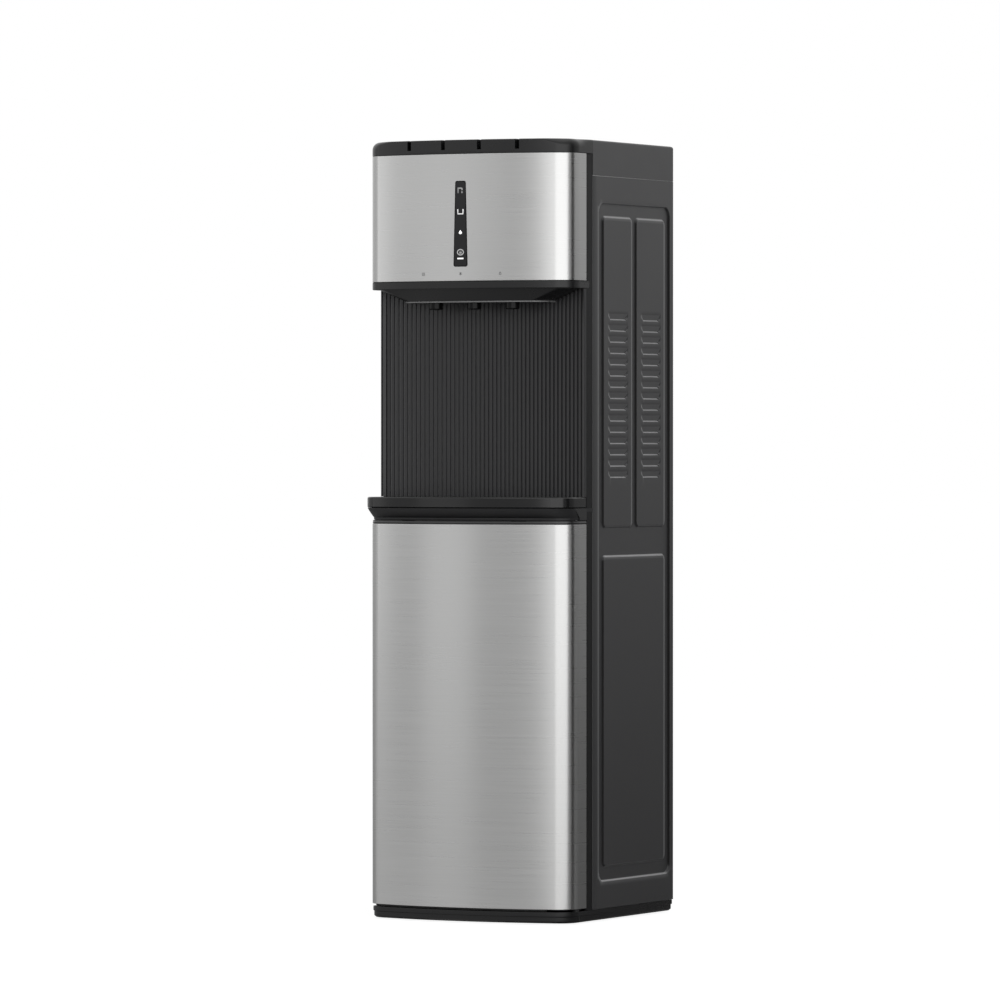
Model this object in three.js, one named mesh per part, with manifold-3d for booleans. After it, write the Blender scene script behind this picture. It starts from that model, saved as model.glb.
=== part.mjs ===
// Bottom load water cooler: a tall cabinet with a bowed steel front, a dispensing niche with three
// nozzles over a drip tray, and a door below it that hides the bottle.
// Millimetres. X runs to the right seen from the front, Y to the back, Z up.
// The origin is on the floor, under the middle of the whole object.

import * as THREE from "three";
import { mergeVertices } from "three/addons/utils/BufferGeometryUtils.js";
import Module from "manifold-3d";

const wasm = await Module();
wasm.setup();

// ---------------------------------------------------------------- driving sizes

// plan of the body
const bodyWidth = 310;
const bodyDepth = 334; // crest of the bow to the rear edges of the side panels
const bowRadius = 505;
const cornerRadius = 30.5;
const trayReach = 14.5; // drip tray in front of the bow
const condenserReach = 16; // condenser behind the body
const skinWrap = 20.3; // straight side of the steel skins, behind the corner arc
const postDepth = 17.7;
const postWidth = 6;

// heights, from the floor up
const glideHeight = 2;
const plinthHeight = 15;
const doorFootGap = 3.5;
const doorSkinHeight = 514;
const doorLipHeight = 5.5;
const grabHeight = 16.5; // finger recess between the door and the drip tray
const trayHeight = 14.3;
const nicheHeight = 260.2; // drip tray to the lip that holds the nozzles
const hopperDrop = 19.5; // sloped underside of the nozzle housing
const bandHeight = 10.4;
const fasciaHeight = 170.5;
const capHeight = 18.8;
const coverSkirt = 47.7; // how far the rear cover comes down the sides

// walls and gaps
const skinSheet = 0.9;
const sheet = 1; // pressed side and rear panels
const moulding = 2.5;
const fit = 0.3; // between fixed pieces
const seam = 0.4; // shadow line between outer panels
const swingGap = 1.2; // behind the door's edge

// ---------------------------------------------------------------- places worked out from them

const halfWidth = bodyWidth / 2;
const apexY = trayReach - (bodyDepth + trayReach + condenserReach) / 2;
const rearY = apexY + bodyDepth;
const cornerY = cornerCentreY(halfWidth, apexY, bowRadius, cornerRadius);
const doorRearY = cornerY + skinWrap;
const postFrontY = doorRearY + swingGap;
const postRearY = postFrontY + postDepth;
const panelFrontY = postRearY + seam;
const postInnerX = halfWidth - postWidth;

const plinthTop = glideHeight + plinthHeight;
const doorBottom = plinthTop + doorFootGap;
const doorSkinTop = doorBottom + doorSkinHeight;
const doorTop = doorSkinTop + doorLipHeight;
const trayBottom = doorTop + grabHeight;
const trayTop = trayBottom + trayHeight;
const lipZ = trayTop + nicheHeight;
const bandBottom = lipZ + hopperDrop;
const bandTop = bandBottom + bandHeight;
const capBottom = bandTop + fasciaHeight;
const topZ = capBottom + capHeight;
const skirtZ = topZ - coverSkirt;

// ---------------------------------------------------------------- solids

// A closed geometry as a solid that can be cut and joined.
function solid(geometry) {
  const bare = geometry.index ? geometry.toNonIndexed() : geometry.clone();
  bare.deleteAttribute("normal");
  bare.deleteAttribute("uv");
  const merged = mergeVertices(bare, 1e-4);
  const vertProperties = new Float32Array(merged.attributes.position.array);
  const triVerts = new Uint32Array(merged.index.array);
  const made = new wasm.Manifold(new wasm.Mesh({ numProp: 3, vertProperties, triVerts }));
  if (made.volume() > 0) return made;
  for (let i = 0; i < triVerts.length; i += 3) {
    [triVerts[i + 1], triVerts[i + 2]] = [triVerts[i + 2], triVerts[i + 1]];
  }
  return new wasm.Manifold(new wasm.Mesh({ numProp: 3, vertProperties, triVerts }));
}

// A solid as a geometry for a mesh.
function geometryOf(made) {
  const mesh = made.getMesh();
  const geometry = new THREE.BufferGeometry();
  const points = new Float32Array(mesh.numVert * 3);
  for (let i = 0; i < mesh.numVert; i++) {
    points.set(mesh.vertProperties.subarray(i * mesh.numProp, i * mesh.numProp + 3), i * 3);
  }
  geometry.setAttribute("position", new THREE.BufferAttribute(points, 3));
  geometry.setIndex(new THREE.BufferAttribute(new Uint32Array(mesh.triVerts), 1));
  geometry.computeVertexNormals();
  return geometry;
}

function join(first, ...others) {
  return others.reduce((a, b) => a.add(b), first);
}

function cut(first, ...others) {
  return others.reduce((a, b) => a.subtract(b), first);
}

function moved(made, matrix) {
  return solid(geometryOf(made).applyMatrix4(matrix));
}

function shifted(made, x, y, z) {
  return moved(made, new THREE.Matrix4().makeTranslation(x, y, z));
}

// The same solid on the left side of the object.
function mirrored(made) {
  return moved(made, new THREE.Matrix4().makeScale(-1, 1, 1));
}

function box(x0, x1, y0, y1, z0, z1) {
  const geometry = new THREE.BoxGeometry(x1 - x0, y1 - y0, z1 - z0);
  return solid(geometry.translate((x0 + x1) / 2, (y0 + y1) / 2, (z0 + z1) / 2));
}

function shapeOf(points) {
  return new THREE.Shape(points.map(([a, b]) => new THREE.Vector2(a, b)));
}

// Outline in X and Y, raised from z0 to z1.
function prismZ(points, z0, z1, holes = []) {
  const shape = shapeOf(points);
  shape.holes = holes.map((hole) => new THREE.Path(hole.map(([a, b]) => new THREE.Vector2(a, b))));
  const geometry = new THREE.ExtrudeGeometry(shape, { depth: z1 - z0, bevelEnabled: false });
  return solid(geometry.translate(0, 0, z0));
}

// Outline in X and Z, carried from y0 to y1.
function prismY(points, y0, y1) {
  const geometry = new THREE.ExtrudeGeometry(shapeOf(points), { depth: y1 - y0, bevelEnabled: false });
  return solid(geometry.rotateX(Math.PI / 2).translate(0, y1, 0));
}

// Outline in Y and Z, carried from x0 to x1.
function prismX(points, x0, x1) {
  const geometry = new THREE.ExtrudeGeometry(shapeOf(points), { depth: x1 - x0, bevelEnabled: false });
  const turn = new THREE.Matrix4().set(0, 0, 1, 0, 1, 0, 0, 0, 0, 1, 0, 0, 0, 0, 0, 1);
  return solid(geometry.applyMatrix4(turn).translate(x0, 0, 0));
}

// Radius and height profile, turned about the Z axis.
function turned(profile, segments = 24) {
  const points = profile.map(([r, z]) => new THREE.Vector2(r, z));
  return solid(new THREE.LatheGeometry(points, segments).rotateX(Math.PI / 2));
}

function rod(radius, x, y, z0, z1, segments = 16) {
  return shifted(turned([[0, z0], [radius, z0], [radius, z1], [0, z1]], segments), x, y, 0);
}

function rodY(radius, x, z, y0, y1, segments = 16) {
  const made = turned([[0, y0], [radius, y0], [radius, y1], [0, y1]], segments);
  return shifted(moved(made, new THREE.Matrix4().makeRotationX(-Math.PI / 2)), x, 0, z);
}

// Rectangle with round corners, as points in any plane.
function roundedRect(a0, a1, b0, b1, r, steps = 3) {
  const points = [];
  const centres = [
    [a1 - r, b0 + r, -Math.PI / 2],
    [a1 - r, b1 - r, 0],
    [a0 + r, b1 - r, Math.PI / 2],
    [a0 + r, b0 + r, Math.PI],
  ];
  for (const [a, b, start] of centres) {
    for (let i = 0; i <= steps; i++) {
      const angle = start + (i / steps) * (Math.PI / 2);
      points.push([a + r * Math.cos(angle), b + r * Math.sin(angle)]);
    }
  }
  return points;
}

// Closed surface through rings of equally many points, each ring a list of [x, y, z].
function lofted(rings) {
  const count = rings[0].length;
  const index = [];
  for (let k = 0; k < rings.length - 1; k++) {
    for (let i = 0; i < count; i++) {
      const j = (i + 1) % count;
      const [a, b] = [k * count + i, k * count + j];
      index.push(a, b, b + count, a, b + count, a + count);
    }
  }
  const flat = (ring) => {
    const [u, v] = flatAxes(ring);
    return ring.map((p) => new THREE.Vector2(p[u], p[v]));
  };
  const capAt = (ring, first, reverse) => {
    for (const [a, b, c] of THREE.ShapeUtils.triangulateShape(flat(ring), [])) {
      index.push(...(reverse ? [first + c, first + b, first + a] : [first + a, first + b, first + c]));
    }
  };
  const clockwise = (ring) => THREE.ShapeUtils.isClockWise(flat(ring));
  capAt(rings[0], 0, !clockwise(rings[0]));
  capAt(rings.at(-1), (rings.length - 1) * count, clockwise(rings.at(-1)));
  const geometry = new THREE.BufferGeometry();
  geometry.setAttribute("position", new THREE.Float32BufferAttribute(rings.flat(2), 3));
  return solid(geometry.setIndex(index));
}

// The two axes along which a flat ring is spread.
function flatAxes(ring) {
  const reach = [0, 1, 2].map((k) => Math.max(...ring.map((p) => p[k])) - Math.min(...ring.map((p) => p[k])));
  const thin = reach.indexOf(Math.min(...reach));
  return [[1, 2], [0, 2], [0, 1]][thin];
}

// Round rod along points that lie in one plane; normal is that plane's direction.
function swept(points, radius, normal, sides) {
  const rings = points.map((point, i) => {
    const before = points[Math.max(i - 1, 0)];
    const after = points[Math.min(i + 1, points.length - 1)];
    const across = new THREE.Vector3().subVectors(after, before).normalize().cross(normal);
    return Array.from({ length: sides }, (_, k) => {
      const angle = (k / sides) * 2 * Math.PI;
      const spot = point.clone().addScaledVector(across, radius * Math.cos(angle));
      return spot.addScaledVector(normal, radius * Math.sin(angle)).toArray();
    });
  });
  return lofted(rings);
}

// ---------------------------------------------------------------- the bowed outline

function cornerCentreY(half, apex, radius, corner) {
  return apex + radius - Math.sqrt((radius - corner) ** 2 - (half - corner) ** 2);
}

// Plan outline of the front: a wide arc between two corner arcs, straight sides, and a rear edge
// that is straight unless rearOf gives it as a function of x.
function planOutline(options = {}) {
  const { inset = 0, forward = 0, rear = doorRearY, rearOf = null } = options;
  const { half = halfWidth, apex = apexY, bow = bowRadius, corner = cornerRadius } = options;
  const h = half - inset;
  const r = bow - inset;
  const c = Math.max(corner - inset, 1);
  const top = apex + inset - forward;
  const yc = cornerCentreY(h, top, r, c);
  const lean = Math.asin((h - c) / (r - c));
  const points = [];
  const cornerSteps = 5;
  const bowSteps = 12;
  for (let i = 0; i <= cornerSteps; i++) {
    const angle = -(i / cornerSteps) * (Math.PI / 2 - lean);
    points.push([h - c + c * Math.cos(angle), yc + c * Math.sin(angle)]);
  }
  for (let i = 1; i <= bowSteps; i++) {
    const angle = -Math.PI / 2 + lean - (i / bowSteps) * 2 * lean;
    points.push([r * Math.cos(angle), top + r + r * Math.sin(angle)]);
  }
  for (let i = 1; i <= cornerSteps; i++) {
    const angle = -Math.PI / 2 - lean - (i / cornerSteps) * (Math.PI / 2 - lean);
    points.push([c - h + c * Math.cos(angle), yc + c * Math.sin(angle)]);
  }
  const rearSteps = rearOf ? 8 : 1;
  for (let i = 0; i <= rearSteps; i++) {
    const x = -h + (2 * h * i) / rearSteps;
    points.push([x, rearOf ? rearOf(x) : rear]);
  }
  return points.reverse();
}

function level(points, z) {
  return points.map(([x, y]) => [x, y, z]);
}

// ---------------------------------------------------------------- materials and scene graph

function finish(color, roughness, metalness) {
  return new THREE.MeshStandardMaterial({ color, roughness, metalness });
}

const brushedSteel = () => finish(0xb4b4b2, 0.34, 1);
const blackPlastic = () => finish(0x2b2b2c, 0.45, 0);
const glossBlack = () => finish(0x0c0c0d, 0.12, 0);
const greyPaint = () => finish(0x474748, 0.5, 0.2);
const zincSteel = () => finish(0x9c9fa1, 0.45, 0.9);
const stainless = () => finish(0xc4c5c6, 0.25, 1);
const darkPaint = () => finish(0x161617, 0.5, 0.3);
const paleFoam = () => finish(0xdedbd2, 0.9, 0);
const rubberBlack = () => finish(0x1a1a1a, 0.8, 0);
const palePlastic = () => finish(0xe6e6e2, 0.5, 0);
const greenBoard = () => finish(0x23543a, 0.6, 0);
const copper = () => finish(0xb0714a, 0.35, 1);
const redPlastic = () => finish(0xb3271e, 0.4, 0);
const bluePlastic = () => finish(0x22519c, 0.4, 0);
const clearSilicone = () => finish(0xd8dcdc, 0.5, 0);

const cooler = new THREE.Group();

function group(parent = cooler) {
  const made = new THREE.Group();
  parent.add(made);
  return made;
}

function piece(parent, name, made, material, place = [0, 0, 0]) {
  const mesh = new THREE.Mesh(geometryOf(made), material);
  mesh.name = name;
  mesh.position.set(...place);
  parent.add(mesh);
  return mesh;
}

// ---------------------------------------------------------------- base

const base = group();

const plinthInset = 1;
const plinthStep = 1.2; // the lower half of the plinth stands back by this
const plinthStepHeight = 8.4;
const plinthEdge = 2.5;
const plinthBays = 4; // between the ribs under the plinth, front to rear
const glideRadius = 12;
const glideStem = 4;
const glideInsetX = 36;
const glideInsetY = 32;
const glidePlaces = {
  foot_front_left: [-halfWidth + glideInsetX, cornerY + glideInsetY],
  foot_front_right: [halfWidth - glideInsetX, cornerY + glideInsetY],
  foot_rear_left: [-halfWidth + glideInsetX, rearY - glideInsetY],
  foot_rear_right: [halfWidth - glideInsetX, rearY - glideInsetY],
};

// hinge axis of the door
const hingeX = halfWidth - 6;
const hingeY = cornerY;
const pinRadius = 2.5;
const pinClearance = 0.3;
const pinDepth = 11;

function plinthOutline(inset, z) {
  return level(planOutline({ inset, rear: rearY - inset }), z);
}

function makePlinth() {
  const low = plinthInset + plinthStep;
  const stepZ = glideHeight + plinthStepHeight;
  const outer = lofted([
    plinthOutline(low + plinthEdge, glideHeight),
    plinthOutline(low, glideHeight + plinthEdge),
    plinthOutline(low, stepZ),
    plinthOutline(plinthInset, stepZ + plinthStep / 2),
    plinthOutline(plinthInset, plinthTop),
  ]);
  const wall = low + plinthEdge + moulding;
  const hollow = lofted([plinthOutline(wall, glideHeight - 1), plinthOutline(wall, plinthTop - moulding)]);
  const inner = halfWidth - wall;
  let made = cut(outer, hollow);
  const ribFoot = glideHeight + 1;
  const ribTop = plinthTop - 1;
  for (const x of [-inner / 3, inner / 3]) {
    made = join(made, box(x - moulding / 2, x + moulding / 2, apexY + 2 * wall, rearY - wall, ribFoot, ribTop));
  }
  for (let i = 0; i < plinthBays; i++) {
    const y = cornerY + (i / plinthBays) * (rearY - cornerY);
    made = join(made, box(-inner - 1, inner + 1, y - moulding / 2, y + moulding / 2, ribFoot, ribTop));
  }
  for (const [x, y] of Object.values(glidePlaces)) {
    made = join(made, rod(glideRadius, x, y, glideHeight, plinthTop - 1, 10));
  }
  made = join(made, rod(pinRadius * 3, hingeX - pinRadius, hingeY, ribFoot, ribTop, 12));
  for (const [x, y] of Object.values(glidePlaces)) {
    made = cut(made, rod(glideStem + fit, x, y, glideHeight - 1, plinthTop - moulding, 12));
  }
  return cut(made, rod(pinRadius + fit / 2, hingeX, hingeY, plinthTop - pinDepth, plinthTop + 1));
}

function makeGlide() {
  const rim = 0.6;
  const neck = glideHeight - fit / 3;
  return turned([
    [0, 0],
    [glideRadius - rim, 0],
    [glideRadius, rim],
    [glideRadius, neck],
    [glideStem, neck],
    [glideStem, plinthTop - moulding - 1],
    [0, plinthTop - moulding - 1],
  ], 12);
}

piece(base, "base_plinth", makePlinth(), blackPlastic());
for (const [name, [x, y]] of Object.entries(glidePlaces)) {
  piece(base, name, makeGlide(), rubberBlack(), [x, y, 0]);
}

// ---------------------------------------------------------------- side panels

const cabinet = group();

const frameDepth = 2; // sunk frame pressed into the side
const raisedDepth = 1.5; // panels raised again inside the frame
const pressSlope = 2; // width of the sloped edge of a pressing
const frameFront = 19; // from the panel's front edge
const frameRear = 11.8; // from its rear edge
const frameFoot = 37; // from the plinth
const frameHead = 37; // from the skirt
const frameCorner = 14;
const raisedCorner = 7;
const raisedMargin = 13.5; // frame edge to raised panel, front and rear
const raisedMiddle = 12; // between the two upper panels
const raisedHeadMargin = 17.5;
const raisedFootMargin = 19.5;
const lowerPanelDrop = 49; // door's top edge to the lower raised panel
const panelBridge = 39; // between the lower panel and the upper ones
const louvreRows = 15;
const louvrePitch = 15.2;
const louvreHeight = 8;
const louvreDepth = 3.2;
const louvreSlit = 2.2;
const louvreMargin = 13; // raised panel's edge to the louvre
const louvreFoot = 68; // bottom of the upper panels to the lowest louvre
const flangeDepth = 14;

const panelBottom = plinthTop + seam;
const panelTop = skirtZ - seam;
const frameY0 = panelFrontY + frameFront;
const frameY1 = rearY - frameRear;
const frameZ0 = plinthTop + frameFoot;
const frameZ1 = skirtZ - frameHead;
const raisedY0 = frameY0 + raisedMargin;
const raisedY1 = frameY1 - raisedMargin;
const raisedMidY = (raisedY0 + raisedY1) / 2;
const lowerPanelZ1 = doorTop - lowerPanelDrop;
const upperPanelZ0 = lowerPanelZ1 + panelBridge;
const upperPanelZ1 = frameZ1 - raisedHeadMargin;
const raisedPanels = [
  [raisedY0, raisedY1, frameZ0 + raisedFootMargin, lowerPanelZ1],
  [raisedY0, raisedMidY - raisedMiddle / 2, upperPanelZ0, upperPanelZ1],
  [raisedMidY + raisedMiddle / 2, raisedY1, upperPanelZ0, upperPanelZ1],
];

// A pressing: a rounded rectangle at x0 that grows or shrinks by the slope on its way to x1.
function pressing(y0, y1, z0, z1, corner, x0, x1, grow) {
  const far = roundedRect(y0 - grow, y1 + grow, z0 - grow, z1 + grow, corner + grow);
  const near = roundedRect(y0, y1, z0, z1, corner);
  return lofted([near.map(([y, z]) => [x0, y, z]), far.map(([y, z]) => [x1, y, z])]);
}

// Everything behind the right panel's outer surface, pushed inwards by the given depth.
function sideBlock(depth) {
  const face = halfWidth - depth;
  const deep = face - frameDepth;
  const over = 1;
  const back = face - 40;
  let made = box(back, face, panelFrontY, rearY, panelBottom, panelTop);
  const slope = pressSlope / frameDepth;
  made = cut(
    made,
    pressing(
      frameY0 + pressSlope,
      frameY1 - pressSlope,
      frameZ0 + pressSlope,
      frameZ1 - pressSlope,
      frameCorner - pressSlope,
      deep,
      face + over,
      pressSlope + over * slope,
    ),
  );
  for (const [y0, y1, z0, z1] of raisedPanels) {
    const raisedSlope = pressSlope * (raisedDepth / frameDepth);
    const sunk = 0.2;
    made = join(
      made,
      pressing(y0, y1, z0, z1, raisedCorner, deep - sunk, deep + raisedDepth, -raisedSlope),
    );
  }
  const pockets = [];
  for (const [y0, y1, z0] of raisedPanels.slice(1)) {
    for (let k = 0; k < louvreRows; k++) {
      const head = z0 + louvreFoot + k * louvrePitch + louvreHeight;
      const foot = head - louvreHeight + (depth > 0 ? louvreSlit : 0);
      pockets.push(louvrePocket(y0 + louvreMargin, y1 - louvreMargin, foot, head, deep + raisedDepth));
    }
  }
  return cut(made, ...pockets);
}

// A louvre seen from outside: sheet that slopes in from its top to a slit over its lower edge. On
// the inner side the slope stops short of that edge, which leaves the slit open.
function louvrePocket(y0, y1, foot, head, face) {
  const over = 0.5;
  const slope = louvreHeight / louvreDepth;
  const depth = (head - foot) / slope;
  return prismY([[face + over, head + over * slope], [face - depth, foot], [face + over, foot]], y0, y1);
}

function makeSidePanel() {
  const made = cut(sideBlock(0), sideBlock(sheet));
  const inside = halfWidth - sheet;
  const flange = inside + sheet / 2;
  return join(
    made,
    box(inside - flangeDepth, flange, panelFrontY, panelFrontY + sheet, panelBottom, panelTop),
    box(inside - flangeDepth, flange, rearY - sheet - fit - sheet, rearY - sheet - fit, panelBottom, panelTop),
  );
}

const sidePanel = makeSidePanel();
piece(cabinet, "side_panel_right", sidePanel, greyPaint());
piece(cabinet, "side_panel_left", mirrored(sidePanel), greyPaint());

// ---------------------------------------------------------------- front posts

function makePost() {
  const edge = 1.5;
  const outer = halfWidth - 0.5;
  const wall = moulding;
  const arc = [];
  const steps = 3;
  for (let i = 0; i <= steps; i++) {
    const angle = -Math.PI / 2 + (i / steps) * (Math.PI / 2);
    arc.push([outer - edge + edge * Math.cos(angle), postFrontY + edge + edge * Math.sin(angle)]);
  }
  return prismZ(
    [
      [postInnerX, postFrontY],
      ...arc,
      [outer, postRearY],
      [outer - wall, postRearY],
      [outer - wall, postFrontY + wall],
      [postInnerX, postFrontY + wall],
    ],
    plinthTop + fit,
    capBottom - fit,
  );
}

const post = makePost();
piece(cabinet, "front_post_right", post, blackPlastic());
piece(cabinet, "front_post_left", mirrored(post), blackPlastic());

// ---------------------------------------------------------------- machine shelf and tank deck

const shelfSheet = 1.2;
const panRim = 12;
const shelfZ = doorTop + 1;
const shelfHalf = halfWidth - sheet - frameDepth - fit;
const shelfFrontY = panelFrontY + sheet + 1.5;
const backPanelY = rearY - sheet; // inner face of the rear panels
const shelfRearY = backPanelY - sheet - 2 * fit - 0.5;
const deckZ = upperPanelZ0 + louvreFoot + louvreRows * louvrePitch + 6;

function makePan(z) {
  const outer = box(-shelfHalf, shelfHalf, shelfFrontY, shelfRearY, z, z + panRim);
  const inner = box(
    -shelfHalf + shelfSheet,
    shelfHalf - shelfSheet,
    shelfFrontY + shelfSheet,
    shelfRearY - shelfSheet,
    z + shelfSheet,
    z + panRim + 1,
  );
  return cut(outer, inner);
}

piece(cabinet, "machine_shelf", makePan(shelfZ), zincSteel());
piece(cabinet, "tank_deck", makePan(deckZ), zincSteel());

// ---------------------------------------------------------------- rear panels

const rearPanelHalf = halfWidth - sheet - fit;
const rearPressDepth = 2;
const rearPressMargin = 26;
const rearPressCorner = 12;
const panelSplitZ = shelfZ + panRim + 2;
const gland = { x: halfWidth - 60, above: 22, radius: 9 };
const drain = { x: 60 - halfWidth, above: 20, radius: 8 };
const switchPlate = { x: halfWidth - 63, below: 34, width: 58, height: 30, corner: 3, proud: 2, deep: 12 };
const ventSlots = { count: 8, width: 4, height: 34, pitch: 10, above: 14 };
const glandZ = panelSplitZ + gland.above;
const drainZ = panelSplitZ + drain.above;
const switchZ = panelTop - switchPlate.below;

// Flat sheet between two levels with a sunk field, as seen from behind.
function rearSheet(z0, z1, fieldZ0, fieldZ1) {
  const block = (depth) => {
    const face = rearY - depth;
    const ring = (grow, y) =>
      roundedRect(
        -rearPanelHalf + rearPressMargin - grow,
        rearPanelHalf - rearPressMargin + grow,
        fieldZ0 - grow,
        fieldZ1 + grow,
        rearPressCorner + grow,
      ).map(([x, z]) => [x, y, z]);
    return cut(
      box(-rearPanelHalf, rearPanelHalf, face - 20, face, z0, z1),
      lofted([ring(0, face - rearPressDepth), ring(pressSlope + 1, face + 1)]),
    );
  };
  return cut(block(0), block(sheet));
}

function makeLowerBack() {
  const z0 = plinthTop + seam;
  const z1 = panelSplitZ - seam / 2;
  return rearSheet(z0, z1, z0 + rearPressMargin, z1 - rearPressMargin);
}

function makeUpperBack() {
  const z0 = panelSplitZ + seam / 2;
  const fieldZ0 = z0 + ventSlots.above + ventSlots.height + rearPressMargin;
  const fieldZ1 = switchZ - switchPlate.height;
  const holes = [
    rodY(gland.radius + fit, gland.x, glandZ, rearY - 10, rearY + 1),
    rodY(drain.radius + fit, drain.x, drainZ, rearY - 10, rearY + 1),
    box(
      switchPlate.x - switchPlate.width / 2 + 4,
      switchPlate.x + switchPlate.width / 2 - 4,
      rearY - 10,
      rearY + 1,
      switchZ - switchPlate.height / 2 + 3,
      switchZ + switchPlate.height / 2 - 3,
    ),
  ];
  for (let i = 0; i < ventSlots.count; i++) {
    const x = (i - (ventSlots.count - 1) / 2) * ventSlots.pitch;
    const low = z0 + ventSlots.above;
    holes.push(box(x - ventSlots.width / 2, x + ventSlots.width / 2, rearY - 10, rearY + 1, low, low + ventSlots.height));
  }
  return cut(rearSheet(z0, panelTop, fieldZ0, fieldZ1), ...holes);
}

piece(cabinet, "back_panel_lower", makeLowerBack(), greyPaint());
piece(cabinet, "back_panel_upper", makeUpperBack(), greyPaint());

// ---------------------------------------------------------------- door

const door = group();

const linerInset = skinSheet + fit;
const lipInset = 0.6;
const linerRearY = doorRearY - 1;
const pocketHalf = 132;
const pocketFoot = 18;
const pocketHead = 24;
const pocketCorner = 16;
const pocketWall = 14; // crest of the bow to the floor of the pocket
const linerRibs = 3;
const ribDepth = 4;
const troughHalf = 96;
const troughDepth = 12;
const troughFront = 6; // crest of the bow to the finger trough
const troughReach = 20;

function makeDoorSkin() {
  const outer = prismZ(planOutline(), doorBottom, doorSkinTop);
  const inner = prismZ(planOutline({ inset: skinSheet, rear: doorRearY + 1 }), doorBottom - 1, doorSkinTop + 1);
  return cut(outer, inner);
}

function makeDoorLiner() {
  const body = prismZ(planOutline({ inset: linerInset, rear: linerRearY }), doorBottom + seam, doorSkinTop + fit / 2);
  const lip = prismZ(planOutline({ inset: lipInset, rear: linerRearY }), doorSkinTop + fit / 2, doorTop - 0.5);
  const pocketY = apexY + pocketWall;
  const pocketZ0 = doorBottom + pocketFoot;
  const pocketZ1 = doorSkinTop - pocketHead;
  const pocket = prismY(
    roundedRect(-pocketHalf, pocketHalf, pocketZ0, pocketZ1, pocketCorner),
    pocketY,
    linerRearY + 1,
  );
  const trough = prismZ(
    roundedRect(-troughHalf, troughHalf, apexY + troughFront, apexY + troughFront + troughReach, troughReach / 2 - 1),
    doorTop - troughDepth,
    doorTop + 1,
  );
  let made = cut(join(body, lip), pocket, trough);
  for (let i = 0; i < linerRibs; i++) {
    const x = (i - (linerRibs - 1) / 2) * ((2 * pocketHalf) / linerRibs);
    const half = moulding / 2;
    made = join(made, box(x - half, x + half, pocketY - 1, pocketY + ribDepth, pocketZ0 - 1, pocketZ1 + 1));
  }
  const bore = pinRadius + pinClearance;
  return cut(
    made,
    rod(bore, hingeX, hingeY, doorTop - pinDepth, doorTop + 1),
    rod(bore, hingeX, hingeY, doorBottom - 1, doorBottom + pinDepth),
  );
}

piece(door, "door_skin", makeDoorSkin(), brushedSteel());
piece(door, "door_liner", makeDoorLiner(), blackPlastic());

// magnet on the mid frame, steel plate on the liner
const catchWidth = 28;
const catchX = -halfWidth + 32;
const catchHeight = 10;
const catchZ = doorTop - 6;
const catchPlate = 1;
const catchDepth = 12;

piece(
  door,
  "catch_plate",
  box(
    catchX - catchWidth / 2,
    catchX + catchWidth / 2,
    linerRearY + fit / 3,
    linerRearY + fit / 3 + catchPlate,
    catchZ - catchHeight,
    catchZ,
  ),
  zincSteel(),
);

function makePin(z0, z1) {
  const edge = 0.6;
  return turned(
    [[0, z0], [pinRadius - edge, z0], [pinRadius, z0 + edge], [pinRadius, z1 - edge], [pinRadius - edge, z1], [0, z1]],
    16,
  );
}

const bossTop = doorTop + 1 + pinDepth; // top of the upper pin's hole
piece(cabinet, "hinge_pin_top", makePin(doorTop - pinDepth + 1, bossTop - 0.5), zincSteel(), [hingeX, hingeY, 0]);
piece(cabinet, "hinge_pin_bottom", makePin(plinthTop - pinDepth + fit, doorBottom + pinDepth - 1), zincSteel(), [
  hingeX,
  hingeY,
  0,
]);

const washerRadius = 4.6;
piece(
  cabinet,
  "hinge_washer",
  turned(
    [
      [pinRadius + 0.1, plinthTop + 0.1],
      [washerRadius, plinthTop + 0.1],
      [washerRadius, doorBottom + seam - 0.2],
      [pinRadius + 0.1, doorBottom + seam - 0.2],
      [pinRadius + 0.1, plinthTop + 0.1],
    ],
    16,
  ),
  palePlastic(),
  [hingeX, hingeY, 0],
);

// ---------------------------------------------------------------- mid frame

const slopeFoot = 3; // upright foot of the sloped front
const slopeInset = 3.8;
const cheekWidth = 14;
const grabHalf = 138;
const grabReach = 27;
const grabCeiling = 3;
const midBottom = doorTop + 0.5;
const midTop = trayBottom - fit;
const trayForward = { forward: trayReach };

function makeMidFrame() {
  const rear = postFrontY - fit;
  const slope = lofted([
    level(planOutline({ inset: slopeInset, rear }), midBottom),
    level(planOutline({ inset: slopeInset, rear }), midBottom + slopeFoot),
    level(planOutline({ ...trayForward, rear }), midTop),
  ]);
  const cheek = prismX(
    [
      [rear, midBottom],
      [rear, midTop],
      [cornerY - trayReach, midTop],
      [cornerY, midBottom + slopeFoot],
      [cornerY, midBottom],
    ],
    halfWidth - cheekWidth,
    halfWidth,
  );
  const ledge = box(-postInnerX + fit, postInnerX - fit, rear - 1, panelFrontY, midTop - moulding, midTop);
  const grab = box(-grabHalf, grabHalf, apexY - trayReach - 5, apexY + grabReach, midBottom - 1, midTop - grabCeiling);
  const underside = box(
    -halfWidth + cheekWidth + 8,
    halfWidth - cheekWidth - 8,
    apexY + grabReach + moulding,
    rear + 5,
    midBottom - 1,
    midTop - moulding,
  );
  let made = cut(join(slope, cheek, mirrored(cheek), ledge), grab, underside);
  const magnetSeat = catchX;
  made = join(
    made,
    box(magnetSeat - 5, magnetSeat + 5, rear - 6, postFrontY + 8, midBottom + 2, midTop - 1),
  );
  return cut(made, rod(pinRadius + fit / 2, hingeX, hingeY, midBottom - 1, bossTop));
}

piece(cabinet, "mid_frame", makeMidFrame(), blackPlastic());

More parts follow.
